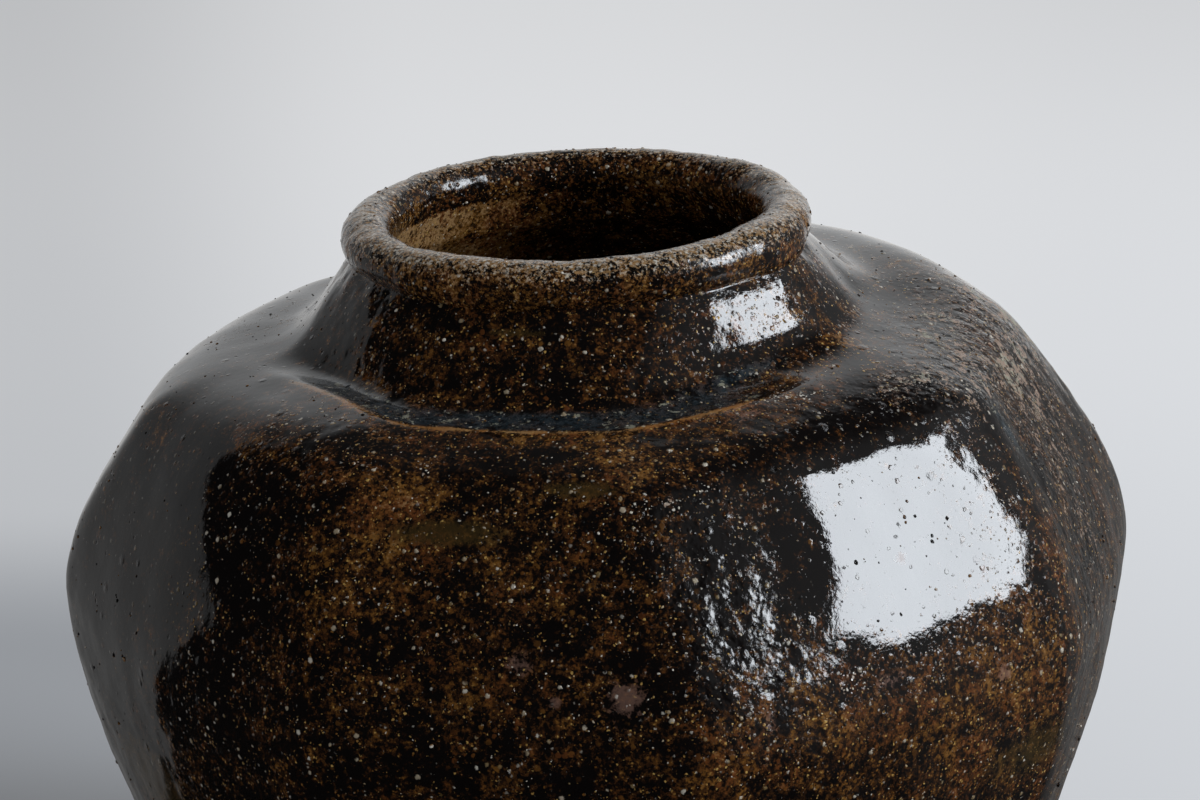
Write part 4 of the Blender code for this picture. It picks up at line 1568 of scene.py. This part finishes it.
# %% How a section is built
def section(name, blocks, closed):
    """A section from blocks of rings: (rings, their normals, their rows of the skin)."""
    rings = np.concatenate([block[0] for block in blocks])
    sides = np.concatenate([block[1] for block in blocks])
    lengths = [len(block[0]) for block in blocks]
    block_of = np.repeat(np.arange(len(blocks)), lengths)
    is_skin = np.array([block[2] is not None for block in blocks])
    count = len(rings)
    low = np.arange(count if closed else count - 1)
    high = (low + 1) % count
    column = np.arange(COLUMNS)
    after = (column + 1) % COLUMNS
    corners = [low[:, None] * COLUMNS + column, low[:, None] * COLUMNS + after]
    corners += [high[:, None] * COLUMNS + after, high[:, None] * COLUMNS + column]
    quads = np.stack(corners, axis=-1).reshape(-1, 4)
    smooth = np.repeat((block_of[low] == block_of[high]) & is_skin[block_of[low]], COLUMNS)
    faces = quads.tolist()
    points = rings.reshape(-1, 3)
    flat_sides = sides.reshape(-1, 3)
    if not closed:
        faces.append(list(range(COLUMNS))[::-1])
        faces.append(list(range((count - 1) * COLUMNS, count * COLUMNS)))
        smooth = np.append(smooth, [False, False])
    mesh = bpy.data.meshes.new(name)
    mesh.from_pydata(points.tolist(), [], faces)
    mesh.polygons.foreach_set("use_smooth", smooth)
    for label, field in skin_numbers.items():
        layer = mesh.attributes.new(label, "FLOAT", "POINT")
        values = [
            np.zeros((length, COLUMNS)) if chosen is None else field[chosen]
            for length, (_, _, chosen) in zip(lengths, blocks)
        ]
        layer.data.foreach_set("value", np.concatenate(values).astype(np.float32).ravel())
    mesh.update()
    corner_sides = flat_sides[quads.ravel()].reshape(-1, 4, 3)
    first, second, third, fourth = (points[quads[:, corner]] for corner in range(4))
    facing = np.cross(third - first, fourth - second)
    facing /= np.maximum(np.linalg.norm(facing, axis=1)[:, None], TINY)
    corner_sides[~smooth[: len(quads)]] = facing[~smooth[: len(quads)]][:, None]
    corner_sides = corner_sides.reshape(-1, 3)
    if not closed:
        caps = np.zeros((2 * COLUMNS, 3))
        caps[:COLUMNS, 2] = -1.0
        caps[COLUMNS:, 2] = 1.0
        corner_sides = np.concatenate([corner_sides, caps])
    mesh.normals_split_custom_set(corner_sides.tolist())
    mesh.materials.append(finishes[name])
    piece = bpy.data.objects.new(name + "_skin", mesh)
    scene.collection.objects.link(piece)
    return piece


def skin_block(first, last):
    """The rings of the skin between two rows, both taken."""
    chosen = slice(first, last + 1)
    return skin[chosen], normals[chosen], chosen


def hidden_block(*rings):
    """Rings inside the clay."""
    rings = np.array(rings)
    return rings, np.zeros_like(rings), None


print("each section is a closed body of", COLUMNS, "columns")

# %% Sections
row_of = {**start_of, "middle of the floor": ROWS - 1}
belly_outside = skin[row_of["upper"]] - normals[row_of["upper"]] * WALL / 2
belly_inside = skin[row_of["inner_lower"]] - normals[row_of["inner_lower"]] * WALL / 2
slab_corner = skin[row_of["floor"]].copy()
slab_corner[:, 2] = skin[row_of["low"], :, 2]

pieces = {
    "base_disc": section(
        "base_disc",
        [
            skin_block(row_of["foot"], row_of["low"]),
            hidden_block(slab_corner),
            skin_block(row_of["floor"], row_of["middle of the floor"]),
        ],
        closed=False,
    ),
    "lower_wall": section(
        "lower_wall",
        [
            skin_block(row_of["low"], row_of["upper"]),
            hidden_block(belly_outside, belly_inside),
            skin_block(row_of["inner_lower"], row_of["floor"]),
            hidden_block(slab_corner),
        ],
        closed=True,
    ),
    "upper_wall": section(
        "upper_wall",
        [
            skin_block(row_of["upper"], row_of["neck"]),
            skin_block(row_of["inner_upper"], row_of["inner_lower"]),
            hidden_block(belly_inside, belly_outside),
        ],
        closed=True,
    ),
    "neck_collar": section(
        "neck_collar",
        [
            skin_block(row_of["neck"], row_of["lip"]),
            skin_block(row_of["inner_neck"], row_of["inner_upper"]),
        ],
        closed=True,
    ),
    "rolled_rim": section(
        "rolled_rim", [skin_block(row_of["lip"], row_of["inner_neck"])], closed=True
    ),
}
for name, piece in pieces.items():
    triangles = sum(len(face.vertices) - 2 for face in piece.data.polygons)
    print(name, triangles, "triangles")

# %% [markdown]
# ## Grit that stands proud
# Some grains were too large to sink into the glaze. They are real bodies here, because
# they break the outline and catch the light from every side. Geometry Nodes scatter them
# over the outside of a section, turned and sized at random from a fixed seed.

# %% Finish and tree of the grit
GRIT = {
    # section: grains for each square metre, smallest and largest radius
    "lower_wall": (9000.0, 0.00018, 0.00060),
    "upper_wall": (20000.0, 0.00018, 0.00046),
    "neck_collar": (30000.0, 0.00016, 0.00045),
    "rolled_rim": (80000.0, 0.00018, 0.00050),
}
GRIT_FLATNESS = 0.45
GRIT_SEED = 7
GRIT_TIP = 0.3
GRIT_FACES_SPLIT = 2
GRIT_LUMPS_NOISE = (0.9, 1.0, 0.5, 3.0)
GRIT_COLOUR_NOISE = (0.0016, 1.0, 0.5, 21.0)
GRIT_WIDTH_SHARE = 0.8
GRIT_SIZE_POWER = 3.0
GRIT_ROUGHNESS = 0.22
GRIT_AMBER_DRAWS = (0.45, 0.58)
GRIT_PALE_DRAWS = (0.58, 0.72)


def grit_finish():
    """Pale mineral grains, from white to rust, half drowned in glaze."""
    material, tree = empty_material("grit")
    place = Wire.new(tree, "ShaderNodeTexCoord", output="Object")
    draw = noise(place, *GRIT_COLOUR_NOISE)
    colour = mixed(draw.between(*GRIT_AMBER_DRAWS), BLACK, AMBER)
    colour = mixed(draw.between(*GRIT_PALE_DRAWS), colour, PALE)
    sockets = {"Base Color": colour, "Roughness": GRIT_ROUGHNESS, "IOR": GLAZE_INDEX}
    surface = Wire.new(tree, "ShaderNodeBsdfPrincipled", None, sockets)
    Wire.new(tree, "ShaderNodeOutputMaterial", None, {"Surface": surface})
    return material


def grit_tree(material):
    """Scatters flattened grains over the outside of whatever mesh it is given."""
    numbers = ["Density", "Smallest", "Largest", "Flatness", "Seed"]
    tree, inputs, keys = geometry_tree("scattered_grit", numbers)
    seed = inputs["Seed"]
    shares = inputs["Density"] * attribute(tree, "outside")
    sockets = {"Mesh": inputs["Geometry"], "Density": shares, "Seed": seed}
    settings = {"distribute_method": "RANDOM"}
    kind = "GeometryNodeDistributePointsOnFaces"
    points = Wire.new(tree, kind, settings, sockets, "Points")
    upright = Wire(tree, points.socket.node.outputs["Rotation"])
    sockets = {"Radius": 1.0, "Subdivisions": GRIT_FACES_SPLIT}
    grain = Wire.new(tree, "GeometryNodeMeshIcoSphere", None, sockets, "Mesh")
    lumps = noise(Wire.new(tree, "GeometryNodeInputPosition"), *GRIT_LUMPS_NOISE, "Color")
    sockets = {0: lumps, 1: (0.5, 0.5, 0.5)}
    offset = Wire.new(tree, "ShaderNodeVectorMath", {"operation": "SUBTRACT"}, sockets)
    grain = Wire.new(tree, "GeometryNodeSetPosition", None, {"Geometry": grain, "Offset": offset})
    grain = Wire.new(tree, "GeometryNodeSetShadeSmooth", None, {"Geometry": grain})
    sockets = {2: 0.0, 3: 1.0, "Seed": seed}
    draw = Wire.new(tree, "FunctionNodeRandomValue", {"data_type": "FLOAT"}, sockets, 1)
    spread = (inputs["Largest"] - inputs["Smallest"]) * draw ** GRIT_SIZE_POWER
    size = inputs["Smallest"] + spread
    sockets = {"X": size, "Y": size * GRIT_WIDTH_SHARE, "Z": size * inputs["Flatness"]}
    scale = Wire.new(tree, "ShaderNodeCombineXYZ", None, sockets)
    sockets = {0: (0.0, 0.0, 0.0), 1: (GRIT_TIP, GRIT_TIP, math.tau), "Seed": seed}
    turn = Wire.new(tree, "FunctionNodeRandomValue", {"data_type": "FLOAT_VECTOR"}, sockets)
    sockets = {"Rotation": upright, "Rotate By": turn}
    settings = {"rotation_space": "LOCAL"}
    turned = Wire.new(tree, "FunctionNodeRotateRotation", settings, sockets)
    sockets = {"Points": points, "Instance": grain, "Rotation": turned, "Scale": scale}
    scattered = Wire.new(tree, "GeometryNodeInstanceOnPoints", None, sockets)
    real = Wire.new(tree, "GeometryNodeRealizeInstances", None, {"Geometry": scattered})
    done = Wire.new(tree, "GeometryNodeSetMaterial", None, {"Geometry": real, "Material": material})
    Wire.new(tree, "NodeGroupOutput", None, {"Geometry": done})
    return tree, keys


print("grit on:", ", ".join(GRIT))

# %% Grit
tree, keys = grit_tree(grit_finish())
grit_pieces = {}
for name, (density, smallest, largest) in GRIT.items():
    values = {
        "Density": density,
        "Smallest": smallest,
        "Largest": largest,
        "Flatness": GRIT_FLATNESS,
        "Seed": float(GRIT_SEED + len(grit_pieces)),
    }
    mesh = evaluated_mesh(pieces[name], tree, keys, values)
    for layer in [item.name for item in mesh.attributes if item.name in skin_numbers]:
        mesh.attributes.remove(mesh.attributes[layer])
    grit = bpy.data.objects.new(name + "_grit", mesh)
    scene.collection.objects.link(grit)
    grit_pieces[name] = grit
    print(grit.name, len(mesh.polygons), "triangles")

# %% [markdown]
# ## Riding on the frame
# The jar has one body. Each section stands for its node, keeps the finish it was given,
# and carries its grit along.

# %% Fitting to the frame
for name, piece in pieces.items():
    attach(piece, "root")
    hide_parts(name)
for name, piece in grit_pieces.items():
    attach(piece, "root")
